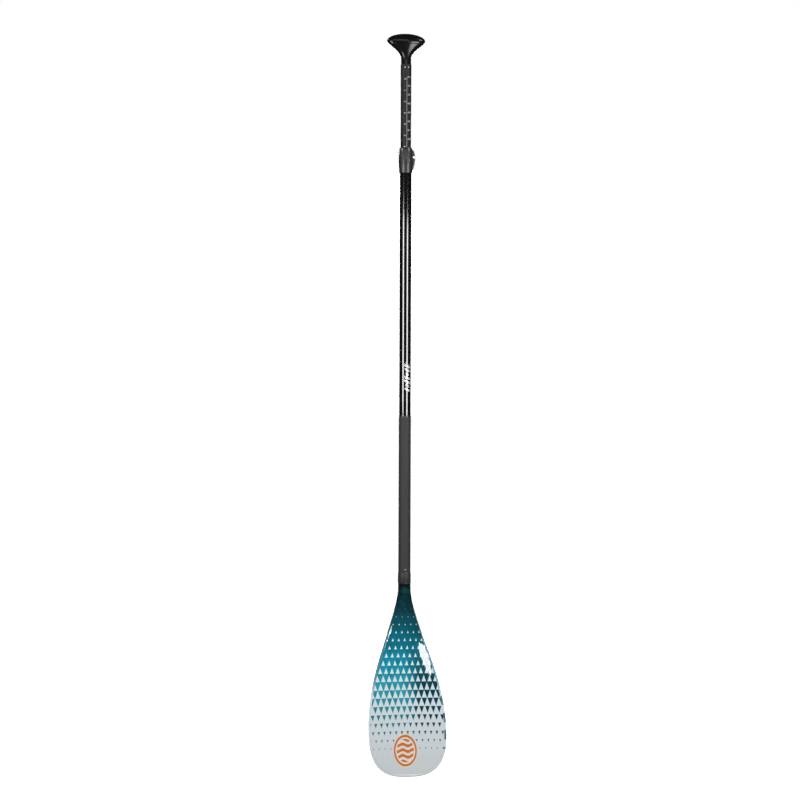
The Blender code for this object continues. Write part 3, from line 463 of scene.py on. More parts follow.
feed(m, "Roughness", calc(m, "ADD", polish, calc(m, "MULTIPLY", gap, satin)))
relief = add(m, "ShaderNodeBump", {"Strength": 0.2, "Distance": 0.00002, "Height": calc(
    m, "MULTIPLY", fibre, satin)})
feed(m, "Normal", relief.outputs[0])
finish_piece("laminated_main_shaft", shaft, shaft_lacquer, "paddle", "gloss_shaft", "main_shaft")

bulkhead_foam = new_material("closed_cell_foam", (0.72, 0.70, 0.64), 0.9, specular=0.2)
cells = add(bulkhead_foam, "ShaderNodeTexVoronoi", {"Vector": place_on(bulkhead_foam), "Scale": 1600.0})
feed(bulkhead_foam, "Base Color", mixed(bulkhead_foam, remap(
    bulkhead_foam, cells.outputs[0], 0.0, 0.7, 0.0, 1.0), (0.56, 0.54, 0.48), (0.76, 0.74, 0.69)))
feed(bulkhead_foam, "Normal", add(bulkhead_foam, "ShaderNodeBump", {
    "Strength": 0.8, "Distance": 0.0002, "Height": cells.outputs[0]}).outputs[0])
paint_node("float_plug", bulkhead_foam)
paint_node("blade_core", bulkhead_foam)


# ---------------------------------------------------------------------------- clamp collar
# A barrel collar moulded in dark grey glass-filled nylon, slit on one side between two ears.
# It is screwed to the top of the main shaft; a split nylon liner inside it holds the tube.

CLAMP_LOW, CLAMP_HIGH = 0.4529, 0.5095
CLAMP_RADIUS = 0.0167
COLLAR_BORE = SHAFT_RADIUS + 0.0003
LIP_BORE = TUBE_RADIUS + 0.00055
BOLT_X = 0.0166
BOLT_Z = CLAMP_HIGH - 0.0213
EAR_HALF_DEPTH = 0.0080
EAR_REACH = 0.0205
EAR_TAPER = 0.0048
EAR_ABOVE_BOLT = 0.0172
EAR_BELOW_BOLT = 0.0280
EAR_ROOT = 0.0090
BARREL_FOOT = 0.0147
BARREL_HEAD = 0.0137
SCREW_ANGLE = math.radians(-69.0)
SCREW_Z = CLAMP_HIGH - 0.0290

barrel = []
for i in range(33):
    part = i / 32
    end = BARREL_FOOT + (BARREL_HEAD - BARREL_FOOT) * part
    barrel.append((end + (CLAMP_RADIUS - end) * math.sin(math.pi * part) ** 0.62,
                   CLAMP_LOW + (CLAMP_HIGH - CLAMP_LOW) * part))
lip = CLAMP_HIGH - 0.0038
collar = spun(barrel + [(LIP_BORE, CLAMP_HIGH), (LIP_BORE, lip), (COLLAR_BORE, lip),
                        (COLLAR_BORE, CLAMP_LOW)], 96)

ears = bmesh.new()
outline = [(EAR_ROOT, BOLT_Z - EAR_BELOW_BOLT)]
for i in range(25):
    height = -EAR_BELOW_BOLT + (EAR_ABOVE_BOLT + EAR_BELOW_BOLT) * i / 24
    share = height / (EAR_ABOVE_BOLT if height > 0 else EAR_BELOW_BOLT)
    outline.append((EAR_REACH - EAR_TAPER * share ** 2, BOLT_Z + height))
outline.append((EAR_ROOT, BOLT_Z + EAR_ABOVE_BOLT))
side = ears.faces.new([ears.verts.new((x, -EAR_HALF_DEPTH, z)) for x, z in outline])
grown = bmesh.ops.extrude_face_region(ears, geom=[side])
bmesh.ops.translate(ears, vec=(0, 2 * EAR_HALF_DEPTH, 0),
                    verts=[g for g in grown["geom"] if isinstance(g, bmesh.types.BMVert)])
bmesh.ops.recalc_face_normals(ears, faces=ears.faces)
rims = [e for e in ears.edges if e.calc_face_angle(0.0) > math.radians(60)]
bmesh.ops.bevel(ears, geom=rims, offset=0.0016, segments=5, profile=0.5, affect="EDGES", material=-1)


def screw_place(radius):
    return (radius * math.cos(SCREW_ANGLE), radius * math.sin(SCREW_ANGLE), SCREW_Z)


# the ears are cleared inside the collar's wall, so that no face of theirs lies on the bore's
ears = shaped(ears, cut=[rod(COLLAR_BORE + 0.0005, (0, 0, CLAMP_LOW - 0.01), (0, 0, CLAMP_HIGH + 0.01), 96)])
seat = CLAMP_RADIUS - 0.0011
collar = shaped(collar, joined=[ears], edge=0.00022, cut=[
    block((0, -SLIT_HALF, CLAMP_LOW - 0.01), (0.04, SLIT_HALF, CLAMP_HIGH + 0.01)),
    rod(0.0021, (BOLT_X, -0.02, BOLT_Z), (BOLT_X, 0.02, BOLT_Z), 32),
    rod(0.0039, (BOLT_X, EAR_HALF_DEPTH, BOLT_Z), (BOLT_X, 0.02, BOLT_Z)),
    rod(0.0031, (BOLT_X, -0.02, BOLT_Z), (BOLT_X, -EAR_HALF_DEPTH, BOLT_Z)),
    rod(0.0017, screw_place(0.0063), screw_place(0.0258), 32),
    rod(0.0023, screw_place(seat), screw_place(0.0258), 32)])

clamp_nylon = new_material("dark_grey_filled_nylon", (0.022, 0.022, 0.024), 0.34, specular=0.2)
surface(clamp_nylon, 0.28, 0.42, 140.0, grain=0.00004, strength=0.40, fine=18.0)
tint(clamp_nylon, (0.017, 0.017, 0.019), (0.030, 0.030, 0.033), 220.0)
finish_piece("clamp_collar_moulding", collar, clamp_nylon, "paddle", "clamp_plastic", "clamp_collar")
paint_node("clamp_liner", bush_nylon)

black_steel = new_material("blackened_steel", (0.06, 0.06, 0.065), 0.38, metallic=1.0)
surface(black_steel, 0.30, 0.48, 400.0, grain=0.00002)
tint(black_steel, (0.045, 0.045, 0.050), (0.085, 0.083, 0.085), 500.0)
screw = shaped(rod(0.0020, screw_place(seat + 0.0003), screw_place(seat + 0.0011)),
               joined=[rod(0.0014, screw_place(TUBE_RADIUS + 0.00055), screw_place(seat + 0.0007), 32)],
               cut=[rod(0.0010, screw_place(seat + 0.0006), screw_place(0.02), 6)], edge=0.00012)
finish_piece("collar_fixing_screw", screw, black_steel, "paddle", "dark_steel", "collar_screw")


# ---------------------------------------------------------------------------- clamp bolt
# A turned stainless eye bolt crosses the ears. A domed nut closes its front end, and a washer
# under the cam spreads the load on the rear ear. The lever's pin passes through its eye.

EAR_FACE = EAR_HALF_DEPTH + 0.0003
PIN_Y = 0.0145
PIN_RADIUS = 0.0017
CAM_RADIUS = 0.0047

steel = new_material("turned_stainless_steel", (0.64, 0.64, 0.65), 0.24, metallic=1.0)
place = place_on(steel, (0.2, 1.0, 1.0))
lathe = noise(steel, place, 1500.0, 3.0, 0.6)
feed(steel, "Roughness", remap(steel, lathe, 0.3, 0.7, 0.18, 0.34))
feed(steel, "Base Color", mixed(steel, lathe, (0.56, 0.56, 0.57), (0.70, 0.70, 0.70)))
feed(steel, "Normal", add(steel, "ShaderNodeBump", {
    "Strength": 0.25, "Distance": 0.00002, "Height": lathe}).outputs[0])

nut = spun([(0.0021, 0.0), (0.0026, 0.0), (0.0028, 0.0002), (0.0028, 0.0014), (0.0026, 0.0020),
            (0.0022, 0.0024), (0.0016, 0.0026), (0.0, 0.0026), (0.0, 0.0020), (0.0021, 0.0020)], 48)
nut = shaped(nut, cut=[block((-0.0016, -0.0003, 0.0022), (0.0016, 0.0003, 0.0040))], edge=0.00006)
bmesh.ops.transform(nut, verts=nut.verts, matrix=Matrix.Translation((BOLT_X, -EAR_FACE, BOLT_Z))
                    @ Matrix.Rotation(math.pi / 2, 4, "X") @ Matrix.Rotation(0.6, 4, "Z"))
finish_piece("domed_clamp_nut", nut, steel, "paddle", "bright_steel", "clamp_nut")


def across_pin(radius, half, segments=48):
    """A round solid on the lever pin's axis, half to each side of the bolt."""
    return rod(radius, (BOLT_X, PIN_Y, BOLT_Z - half), (BOLT_X, PIN_Y, BOLT_Z + half), segments)


shank = rod(0.0018, (BOLT_X, -EAR_FACE - 0.0017, BOLT_Z), (BOLT_X, PIN_Y - 0.0012, BOLT_Z), 32)
bolt = shaped(across_pin(CAM_RADIUS - 0.0008, 0.0022), joined=[shank],
              cut=[across_pin(PIN_RADIUS + 0.00025, 0.02, 32)], edge=0.00015)
finish_piece("clamp_eye_bolt", bolt, steel, "paddle", "bright_steel", "clamp_bolt")

washer = spun([(0.0021, 0.0), (0.0035, 0.0), (0.0036, 0.0001), (0.0036, 0.0011), (0.0035, 0.0012),
               (0.0021, 0.0012)], 48)
bmesh.ops.transform(washer, verts=washer.verts, matrix=Matrix.Translation((BOLT_X, EAR_FACE, BOLT_Z))
                    @ Matrix.Rotation(-math.pi / 2, 4, "X"))
finish_piece("cam_wear_washer", washer, steel, "paddle", "bright_steel", "cam_washer")


# ---------------------------------------------------------------------------- clamp lever
# A curved cam lever in the same nylon as the collar, which lies round the collar's back. Its
# forked end turns on a steel pin; the flat of the cam draws the ears together as it closes.

pin = shaped(across_pin(PIN_RADIUS, 0.0140), edge=0.0003)
finish_piece("lever_hinge_pin", pin, steel, "lever", "bright_steel", "lever_pin")


def ease(low, high, value):
    """0 below low, 1 above high, smooth between."""
    t = min(1.0, max(0.0, (value - low) / (high - low)))
    return t * t * (3.0 - 2.0 * t)


LEVER_HALF = 0.0150
LEVER_END_DEG = 128.0
lever_inner = CLAMP_RADIUS + 0.0012
lever_outer = lever_inner + 0.0030
pin_reach = math.hypot(BOLT_X, PIN_Y)
start = math.degrees(math.atan2(PIN_Y, BOLT_X))
outside, inside_face = [], []
for i in range(57):
    part = i / 56
    angle = math.radians(start + (LEVER_END_DEG - start) * part)
    near_cam = 1.0 - ease(0.0, 0.42, part)
    flick = 0.0012 * ease(0.80, 1.0, part)
    r_out = lever_outer + (pin_reach + CAM_RADIUS - lever_outer) * near_cam + flick
    r_in = lever_inner + (pin_reach - 0.6 * CAM_RADIUS - lever_inner) * near_cam + flick
    outside.append((r_out * math.cos(angle), r_out * math.sin(angle)))
    inside_face.append((r_in * math.cos(angle), r_in * math.sin(angle)))
lever = bmesh.new()
base = lever.faces.new([lever.verts.new((x, y, BOLT_Z - LEVER_HALF)) for x, y in outside + inside_face[::-1]])
grown = bmesh.ops.extrude_face_region(lever, geom=[base])
bmesh.ops.translate(lever, vec=(0, 0, 2 * LEVER_HALF),
                    verts=[g for g in grown["geom"] if isinstance(g, bmesh.types.BMVert)])
bmesh.ops.recalc_face_normals(lever, faces=lever.faces)
lever = shaped(lever, joined=[across_pin(CAM_RADIUS, LEVER_HALF)], edge=0.0006, segments=3,
               cut=[across_pin(PIN_RADIUS + 0.0003, 0.03, 32), across_pin(CAM_RADIUS + 0.0012, 0.0025)])
finish_piece("cam_lever_moulding", lever, clamp_nylon, "lever", "clamp_plastic", "clamp_lever")


# ---------------------------------------------------------------------------- coupling
# An anodised aluminium spigot is bonded into the blade's neck and plugs into the shaft. It
# carries a moulded ring, a rubber seal, an end plug, and a spring-loaded steel push button.

anodised = new_material("anodised_aluminium", (0.45, 0.46, 0.47), 0.36, metallic=1.0)
surface(anodised, 0.30, 0.46, 300.0, (1.0, 1.0, 0.1), 0.00002)
tint(anodised, (0.40, 0.41, 0.42), (0.50, 0.51, 0.52), 200.0, (1.0, 1.0, 0.1))
paint_node("blade_spigot", anodised)

seal_rubber = new_material("black_seal_rubber", (0.018, 0.018, 0.018), 0.7, specular=0.3)
surface(seal_rubber, 0.60, 0.80, 600.0, grain=0.00003)
tint(seal_rubber, (0.014, 0.014, 0.014), (0.026, 0.026, 0.026), 400.0)
paint_node("spigot_seal", seal_rubber)
paint_node("spigot_plug", bush_nylon)

spring_strip = new_material("spring_steel_strip", (0.45, 0.45, 0.47), 0.3, metallic=1.0)
surface(spring_strip, 0.24, 0.38, 500.0, (1.0, 1.0, 0.1), 0.00002)
tint(spring_strip, (0.36, 0.37, 0.41), (0.52, 0.51, 0.50), 160.0)
paint_node("button_spring", spring_strip)

NECK_TOP = -0.4728
SPIGOT_RADIUS = 0.0124
RING_RADIUS = 0.0146
ring_low, ring_high = NECK_TOP + 0.0003, SHAFT_BOTTOM - 0.0003
coupling_ring = spun([(SPIGOT_RADIUS + 0.0003, ring_low), (RING_RADIUS - 0.0008, ring_low),
                      (RING_RADIUS - 0.0003, ring_low + 0.0002), (RING_RADIUS, ring_low + 0.0008),
                      (RING_RADIUS, ring_high - 0.0008), (RING_RADIUS - 0.0003, ring_high - 0.0002),
                      (RING_RADIUS - 0.0008, ring_high), (SPIGOT_RADIUS + 0.0003, ring_high)], 128)
ring_nylon = new_material("matt_grey_nylon", (0.030, 0.029, 0.029), 0.55, specular=0.16)
surface(ring_nylon, 0.48, 0.62, 160.0, grain=0.00004, fine=12.0)
tint(ring_nylon, (0.024, 0.023, 0.024), (0.038, 0.036, 0.036), 180.0)
finish_piece("coupling_ring_moulding", coupling_ring, ring_nylon, "paddle", "ring_plastic", "coupling_ring")

BORE = SPIGOT_RADIUS - 0.0014
flange_seat = math.sqrt(BORE ** 2 - 0.0042 ** 2) - 0.0003
button_top = SHAFT_RADIUS + 0.0009
button_profile = [(0.0, flange_seat - 0.0010), (0.0042, flange_seat - 0.0010), (0.0042, flange_seat),
                  (BUTTON_RADIUS, flange_seat)]
for i in range(13):
    angle = math.pi / 2 * i / 12
    button_profile.append((BUTTON_RADIUS * math.cos(angle) if i < 12 else 0.0,
                           button_top - 0.0012 + 0.0012 * math.sin(angle)))
button = spun(button_profile, 48)
bmesh.ops.transform(button, verts=button.verts, matrix=Matrix.Translation((0, 0, BUTTON_Z))
                    @ Matrix.Rotation(math.pi / 2, 4, "X"))
button_steel = new_material("brushed_button_steel", (0.09, 0.09, 0.09), 0.5, metallic=1.0)
surface(button_steel, 0.44, 0.58, 500.0, grain=0.00002)
tint(button_steel, (0.06, 0.06, 0.06), (0.12, 0.12, 0.12), 400.0)
finish_piece("push_button", button, button_steel, "button", "bright_steel", "snap_button")


# ---------------------------------------------------------------------------- blade
# Two lacquered laminate skins over a foam core, raked forwards from the shaft and printed on the
# front with rows of triangles that grow and then shrink. A tough moulded rail runs round the edge.

HALF_WIDTH = 0.0888
WIDEST_AT = 0.3290
TIP_ROUND = 0.1030
NECK_RADIUS = 0.0140
RAIL_START = 0.0620
CORE_START = 0.0460
FINER = 4
SIDE_ROWS = 22 * FINER
CORNER_ROWS = 5 * FINER
COLUMNS = 16 * FINER
BOND = 0.00015
BLADE_END = WIDEST_AT + TIP_ROUND
RAKE_DEG = 10.0
RAKE_STEP = 0.0005


def corner_place(angle_deg):
    """A point on the curve that rounds the blade's end; 0 is the side, 90 the tip."""
    c, s = math.cos(math.radians(angle_deg)), math.sin(math.radians(angle_deg))
    power = 2.0 / 2.75
    return (HALF_WIDTH * math.copysign(abs(c) ** power, c), WIDEST_AT + TIP_ROUND * abs(s) ** power)


right_side = cubic((NECK_RADIUS, 0.0), (NECK_RADIUS, 0.0850), (HALF_WIDTH, WIDEST_AT - 0.1400),
                   (HALF_WIDTH, WIDEST_AT), SIDE_ROWS - CORNER_ROWS)
right_side += [corner_place(45.0 * i / CORNER_ROWS) for i in range(1, CORNER_ROWS + 1)]
tip_line = [corner_place(135.0 - 90.0 * j / COLUMNS) for j in range(COLUMNS + 1)]
blade_outline = [(-x, u) for x, u in right_side][:-1] + tip_line + right_side[::-1][1:]


def drawn_in(points, amount):
    """An outline drawn inwards; amount(u) says how far at each distance along the blade."""
    moved = []
    for k, (x, u) in enumerate(points):
        x0, u0 = points[max(k - 1, 0)]
        x1, u1 = points[min(k + 1, len(points) - 1)]
        step = math.hypot(x1 - x0, u1 - u0)
        moved.append((x + (u1 - u0) / step * amount(u), u - (x1 - x0) / step * amount(u)))
    return moved


def rake(along):
    return math.radians(RAKE_DEG) * ease(0.0300, 0.1500, along)


rake_steps = [(0.0, NECK_TOP)]
for i in range(900):
    angle = rake((i + 0.5) * RAKE_STEP)
    y, z = rake_steps[-1]
    rake_steps.append((y - math.sin(angle) * RAKE_STEP, z - math.cos(angle) * RAKE_STEP))


def blade_place(x, along, out):
    """Across the blade, along it from its neck, and out towards its printed front."""
    step = max(0.0, along) / RAKE_STEP
    i = int(step)
    (y0, z0), (y1, z1) = rake_steps[i], rake_steps[i + 1]
    y, z = y0 + (y1 - y0) * (step - i), z0 + (z1 - z0) * (step - i)
    out += 0.0050 * ease(0.0300, WIDEST_AT, along) * (x / HALF_WIDTH) ** 2
    return Vector((x, y - math.cos(rake(along)) * out, z + math.sin(rake(along)) * out))


def half_thick(across, along):
    part = max(0.0, (along - CORE_START) / (BLADE_END - CORE_START))
    middle = 0.0029 + (NECK_RADIUS - 0.0029) * (1.0 - part) ** 2.2
    flat = ease(CORE_START, 0.55 * WIDEST_AT, along)
    edge = BOND + (0.0022 - BOND) * flat
    lens = max(0.0, 1.0 - across * across)
    return edge + (middle - edge) * ((1.0 - flat) * math.sqrt(lens) + flat * lens ** 1.4)


def rail_wide(along):
    return 0.0 if along < RAIL_START else 0.0010 + 0.0042 * ease(RAIL_START, 0.1500, along)


def skin_sheet(bm, side, shrink, sunk, print_map):
    """One surface of a skin: a grid fitted to the blade's outline, with its print map in metres."""
    outline = drawn_in(blade_outline, lambda u: rail_wide(u) + shrink)
    bottom = outline[SIDE_ROWS:SIDE_ROWS + COLUMNS + 1]
    wide, deep = abs(bottom[0][0]), bottom[0][1]
    made = bmesh.ops.create_grid(bm, x_segments=COLUMNS, y_segments=SIDE_ROWS, size=1.0)
    flat_place = {}
    for v in made["verts"]:
        j, i = round((v.co.x + 1) / 2 * COLUMNS), round((1 - v.co.y) / 2 * SIDE_ROWS)
        (x, u), (bx, bu) = outline[i], bottom[j]
        blend = (i / SIDE_ROWS) ** 2
        across = -math.cos(math.pi * j / COLUMNS) * (1.0 - blend) + bx / wide * blend
        x, u = abs(x) * across, u + (bu - deep) * blend * i / SIDE_ROWS
        out = max(half_thick(min(1.0, abs(across)), u) - sunk, BOND)
        v.co = blade_place(x, u, side * out)
        flat_place[v] = (x, u)
    for face in {f for v in made["verts"] for f in v.link_faces}:
        for loop in face.loops:
            loop[print_map].uv = flat_place[loop.vert]
    return made["verts"]


def skin_shell(side):
    """The outer and inner surfaces of a skin, joined round their borders."""
    bm = bmesh.new()
    print_map = bm.loops.layers.uv.new("print")
    rims = []
    for shrink, sunk in ((0.0, 0.0), (0.0012, 0.0012)):
        verts = skin_sheet(bm, side, shrink, sunk, print_map)
        rims += [e for e in edges_round(verts) if e.is_boundary]
    bmesh.ops.bridge_loops(bm, edges=rims)
    return bm


# the print: rows of triangles in the ink's colour below and in white above
ROW_PITCH = 0.0176
COLUMN_PITCH = 0.0132
ROW_ZERO = 0.2216
PRINT_SHIFT = 0.0056
GROW_FROM, GROW_TO = 0.0450, 0.2450
SHRINK_FROM, SHRINK_TO = 0.2285, 0.3920
ROW_BOW = 0.0018
TURN_AT = 0.2420
MARK_AT = 0.3735

# the front's ink carries painted light and shade: painted lighter on the blade's left half and darker on its
# right half
front_lacquer = new_material("printed_and_shaded_blade_lacquer", (0.1, 0.4, 0.5), 0.4, specular=0.0,
                             Coat_Weight=0.6, Coat_Roughness=0.03)
m = front_lacquer
uv = add(m, "ShaderNodeUVMap", uv_map="print").outputs[0]
flat_xy = add(m, "ShaderNodeSeparateXYZ", {0: uv}).outputs
along = flat_xy[1]
drift = add(m, "ShaderNodeMapRange", {0: along, 1: 0.080, 2: 0.215, 3: 0.0, 4: PRINT_SHIFT},
            interpolation_type="SMOOTHSTEP").outputs[0]
across = calc(m, "ADD", flat_xy[0], drift)
edge_part = calc(m, "DIVIDE", flat_xy[0], HALF_WIDTH)
bow = calc(m, "MULTIPLY", calc(m, "MULTIPLY", edge_part, edge_part), remap(
    m, along, 0.18, 0.30, 0.0, ROW_BOW))
bowed = calc(m, "SUBTRACT", along, bow)
row_value = calc(m, "DIVIDE", calc(m, "SUBTRACT", bowed, ROW_ZERO), ROW_PITCH)
row = calc(m, "FLOOR", row_value)
down = calc(m, "SUBTRACT", row_value, row)
row_at = calc(m, "ADD", calc(m, "MULTIPLY", calc(m, "ADD", row, 0.5), ROW_PITCH), ROW_ZERO)
odd = calc(m, "FLOORED_MODULO", row, 2.0)
column = calc(m, "ADD", calc(m, "DIVIDE", across, COLUMN_PITCH), calc(m, "MULTIPLY", odd, 0.5))
off_white = calc(m, "ABSOLUTE", calc(m, "SUBTRACT", calc(m, "FRACT", calc(m, "ADD", column, 0.5)), 0.5))
off_dark = calc(m, "ABSOLUTE", calc(m, "SUBTRACT", calc(m, "FRACT", column), 0.5))
grow = remap(m, row_at, GROW_FROM, GROW_TO, 0.0, 0.97)
shrink = remap(m, row_at, SHRINK_FROM, SHRINK_TO, 1.26, 0.07)


def triangle(off, fall, size):
    """1 inside a triangle scaled about its own middle: fall runs from its point to its base."""
    edge = calc(m, "MULTIPLY", calc(m, "ADD", calc(m, "SUBTRACT", fall, 2 / 3),
                                    calc(m, "MULTIPLY", size, 2 / 3)), 0.47)
    base = calc(m, "ADD", calc(m, "DIVIDE", size, 3.0), 2 / 3)
    slope = calc(m, "SUBTRACT", edge, off)
    soft = add(m, "ShaderNodeMapRange", {0: slope, 1: -0.012, 2: 0.012}).outputs[0]
    depth = calc(m, "SUBTRACT", base, fall)
    foot = add(m, "ShaderNodeMapRange", {0: depth, 1: -0.012, 2: 0.012}).outputs[0]
    return calc(m, "MULTIPLY", soft, foot)


white_up = triangle(off_white, down, grow)
dark_down = triangle(off_dark, calc(m, "SUBTRACT", 1.0, down), shrink)
lower = calc(m, "GREATER_THAN", row_at, TURN_AT - 0.012)
white = calc(m, "ADD", calc(m, "MULTIPLY", white_up, calc(m, "SUBTRACT", 1.0, lower)),
             calc(m, "MULTIPLY", calc(m, "SUBTRACT", 1.0, dark_down), lower))


def ramp(value, stops):
    made = add(m, "ShaderNodeValToRGB", {0: value})
    made.color_ramp.interpolation = "EASE"
    points = made.color_ramp.elements
    while len(points) < len(stops):
        points.new(0.5)
    for point, (at, colour) in zip(points, stops):
        point.position = at
        point.color = (*colour, 1.0)
    return made.outputs[0]


length_part = remap(m, along, 0.0, BLADE_END, 0.0, 1.0)
# Painted light and shade: this ink is painted lighter, as if lit, for the blade's left half, and the next ink
# darker, as if in shade, for its right half; both also change along the blade as the print does.
lit_left_ink = ramp(length_part, [(0.00, (0.003, 0.006, 0.008)), (0.12, (0.004, 0.038, 0.052)),
                              (0.20, (0.003, 0.095, 0.135)), (0.30, (0.004, 0.180, 0.265)),
                              (0.42, (0.010, 0.330, 0.480)), (0.55, (0.030, 0.380, 0.490)),
                              (0.70, (0.030, 0.240, 0.330)), (0.90, (0.060, 0.150, 0.160))])
shaded_right_ink = ramp(length_part, [(0.00, (0.003, 0.006, 0.008)), (0.12, (0.003, 0.028, 0.038)),
                               (0.22, (0.003, 0.092, 0.125)), (0.32, (0.004, 0.165, 0.230)),
                               (0.42, (0.004, 0.105, 0.140)), (0.52, (0.003, 0.050, 0.090)),
                               (0.70, (0.004, 0.040, 0.080)), (0.90, (0.020, 0.050, 0.070))])
# the soft line between the painted lit left half and the painted shaded right half, wobbled a little by noise
patches = noise(m, add(m, "ShaderNodeMapping", {0: uv, 3: (1.0, 0.8, 1.0)}).outputs[0], 26.0, 3.0, 0.5)
lit_shaded_split = calc(m, "ADD", flat_xy[0], calc(m, "MULTIPLY", calc(m, "SUBTRACT", patches, 0.5), 0.05))
to_shaded_right = add(m, "ShaderNodeMapRange", {0: lit_shaded_split, 1: -0.010, 2: 0.036},
               interpolation_type="SMOOTHSTEP").outputs[0]
# from here on the ink carries that painted light and shade on top of its printed colour
ink = mixed(m, to_shaded_right, lit_left_ink, shaded_right_ink)
hues = noise(m, add(m, "ShaderNodeMapping", {0: uv, 1: (0.3, 0.1, 0.0)}).outputs[0], 55.0, 2.0, 0.5)
green = mixed(m, remap(m, hues, 0.50, 0.68, 0.0, 0.45), ink, (0.004, 0.120, 0.100))
grain = noise(m, uv, 900.0, 2.0, 0.5)
ink = mixed(m, remap(m, grain, 0.35, 0.65, 0.0, 0.24), green, (0.002, 0.020, 0.030))
ground = ramp(length_part, [(0.00, (0.70, 0.92, 0.92)), (0.35, (0.72, 0.92, 0.92)),
                            (0.55, (0.66, 0.79, 0.82)), (0.75, (0.64, 0.70, 0.73)),
                            (1.00, (0.60, 0.63, 0.64))])
ground = mixed(m, remap(m, grain, 0.3, 0.7, 0.0, 0.12), ground, (0.45, 0.52, 0.54))
printed = mixed(m, white, ink, ground)

# a plain orange oval with waves across it, near the blade's end
mark_x = calc(m, "DIVIDE", across, 0.0262)
mark_y = calc(m, "DIVIDE", calc(m, "SUBTRACT", along, MARK_AT), 0.0350)
reach = calc(m, "SQRT", calc(m, "ADD", calc(m, "MULTIPLY", mark_x, mark_x),
                             calc(m, "MULTIPLY", mark_y, mark_y)))
wave = calc(m, "MULTIPLY", calc(m, "SINE", calc(m, "MULTIPLY", across, 260.0)), 0.0022)
wave_y = calc(m, "SUBTRACT", calc(m, "SUBTRACT", along, MARK_AT), wave)
inside_oval = calc(m, "LESS_THAN", reach, 1.0)
edge_ring = calc(m, "GREATER_THAN", reach, 0.85)
heart = calc(m, "LESS_THAN", reach, 0.74)
stripe = calc(m, "LESS_THAN", calc(m, "ABSOLUTE", calc(m, "SUBTRACT", calc(m, "FRACT", calc(
    m, "ADD", calc(m, "DIVIDE", wave_y, 0.0125), 0.5)), 0.5)), 0.27)
heart = calc(m, "MULTIPLY", heart, stripe)
orange = calc(m, "MULTIPLY", calc(m, "MAXIMUM", edge_ring, heart), inside_oval)
clear = calc(m, "LESS_THAN", reach, 1.06)
printed = mixed(m, clear, printed, (0.72, 0.71, 0.68))
printed = mixed(m, orange, printed, (0.62, 0.17, 0.022))
feed(m, "Base Color", printed)
feed(m, "Roughness", remap(m, noise(m, uv, 40.0, 4.0), 0.3, 0.7, 0.34, 0.48))
weave = noise(m, uv, 420.0, 3.0, 0.5)
relief = add(m, "ShaderNodeBump", {"Strength": 0.12, "Distance": 0.00003, "Height": weave})
feed(m, "Normal", relief.outputs[0])
front = skin_shell(1)
finish_piece("printed_front_skin", front, front_lacquer, "paddle", "blade_print", "blade_front_skin",
             sharp=50.0)

# the back skin has no print: dark teal pigment under the lacquer, with the cloth's weave showing
back_lacquer = new_material("teal_laminate_lacquer", (0.010, 0.11, 0.14), 0.4, specular=0.15,
                            Coat_Weight=0.6, Coat_Roughness=0.03)
m = back_lacquer
uv = add(m, "ShaderNodeUVMap", uv_map="print").outputs[0]
along = add(m, "ShaderNodeSeparateXYZ", {0: uv}).outputs[1]
length_part = remap(m, along, 0.0, BLADE_END, 0.0, 1.0)
pigment = ramp(length_part, [(0.00, (0.004, 0.009, 0.011)), (0.14, (0.005, 0.032, 0.042)),
                             (0.35, (0.005, 0.085, 0.115)), (0.70, (0.006, 0.110, 0.150)),
                             (1.00, (0.006, 0.075, 0.105))])
warp = add(m, "ShaderNodeTexWave", {"Vector": uv, "Scale": 320.0, "Distortion": 0.3},
           bands_direction="X").outputs[1]
weft = add(m, "ShaderNodeTexWave", {"Vector": uv, "Scale": 320.0, "Distortion": 0.3},
           bands_direction="Y").outputs[1]
cloth = calc(m, "MULTIPLY", warp, weft)
pigment = mixed(m, remap(m, cloth, 0.0, 1.0, 0.0, 0.35), pigment, (0.010, 0.150, 0.190))
feed(m, "Base Color", mixed(m, remap(m, noise(m, uv, 30.0), 0.35, 0.65, 0.0, 0.4), pigment,
                            (0.004, 0.050, 0.075)))
feed(m, "Roughness", remap(m, noise(m, uv, 40.0, 4.0), 0.3, 0.7, 0.34, 0.48))
relief = add(m, "ShaderNodeBump", {"Strength": 0.15, "Distance": 0.00004, "Height": cloth})
feed(m, "Normal", relief.outputs[0])
back = skin_shell(-1)
finish_piece("teal_back_skin", back, back_lacquer, "paddle", "blade_back", "blade_back_skin", sharp=50.0)

# the rail follows the outline; its section is a rounded strip, flush with both skins
rail_inner = drawn_in(blade_outline, lambda u: rail_wide(u) - 0.0003)
rail_bm = bmesh.new()
rail_map = rail_bm.loops.layers.uv.new("rail")
flat_place, last = {}, None
for k, ((x0, u0), (x2, u2)) in enumerate(zip(rail_inner, blade_outline)):
    if min(u0, u2) < RAIL_START:
        continue
    section = []
    for step in range(18):
        if step < 2:
            share, level = 0.0, 1.0 - 2.0 * step
        else:
            turn = -math.pi / 2 + math.pi * (step - 2) / 15
            share, level = max(0.0, math.cos(turn)) ** 0.55, math.sin(turn)
        x, u = x0 + (x2 - x0) * share, u0 + (u2 - u0) * share
        thick = half_thick(1.0, u2)
        section.append(rail_bm.verts.new(blade_place(x, u, thick * level)))
        flat_place[section[-1]] = (x, u)
    loop = [rail_bm.edges.new(pair) for pair in zip(section, section[1:] + section[:1])]
    if last:
        bmesh.ops.bridge_loops(rail_bm, edges=last + loop)
    else:
        rail_bm.faces.new(section)
    last = loop
rail_bm.faces.new(section)
for face in rail_bm.faces:
    for corner in face.loops:
        corner[rail_map].uv = flat_place[corner.vert]

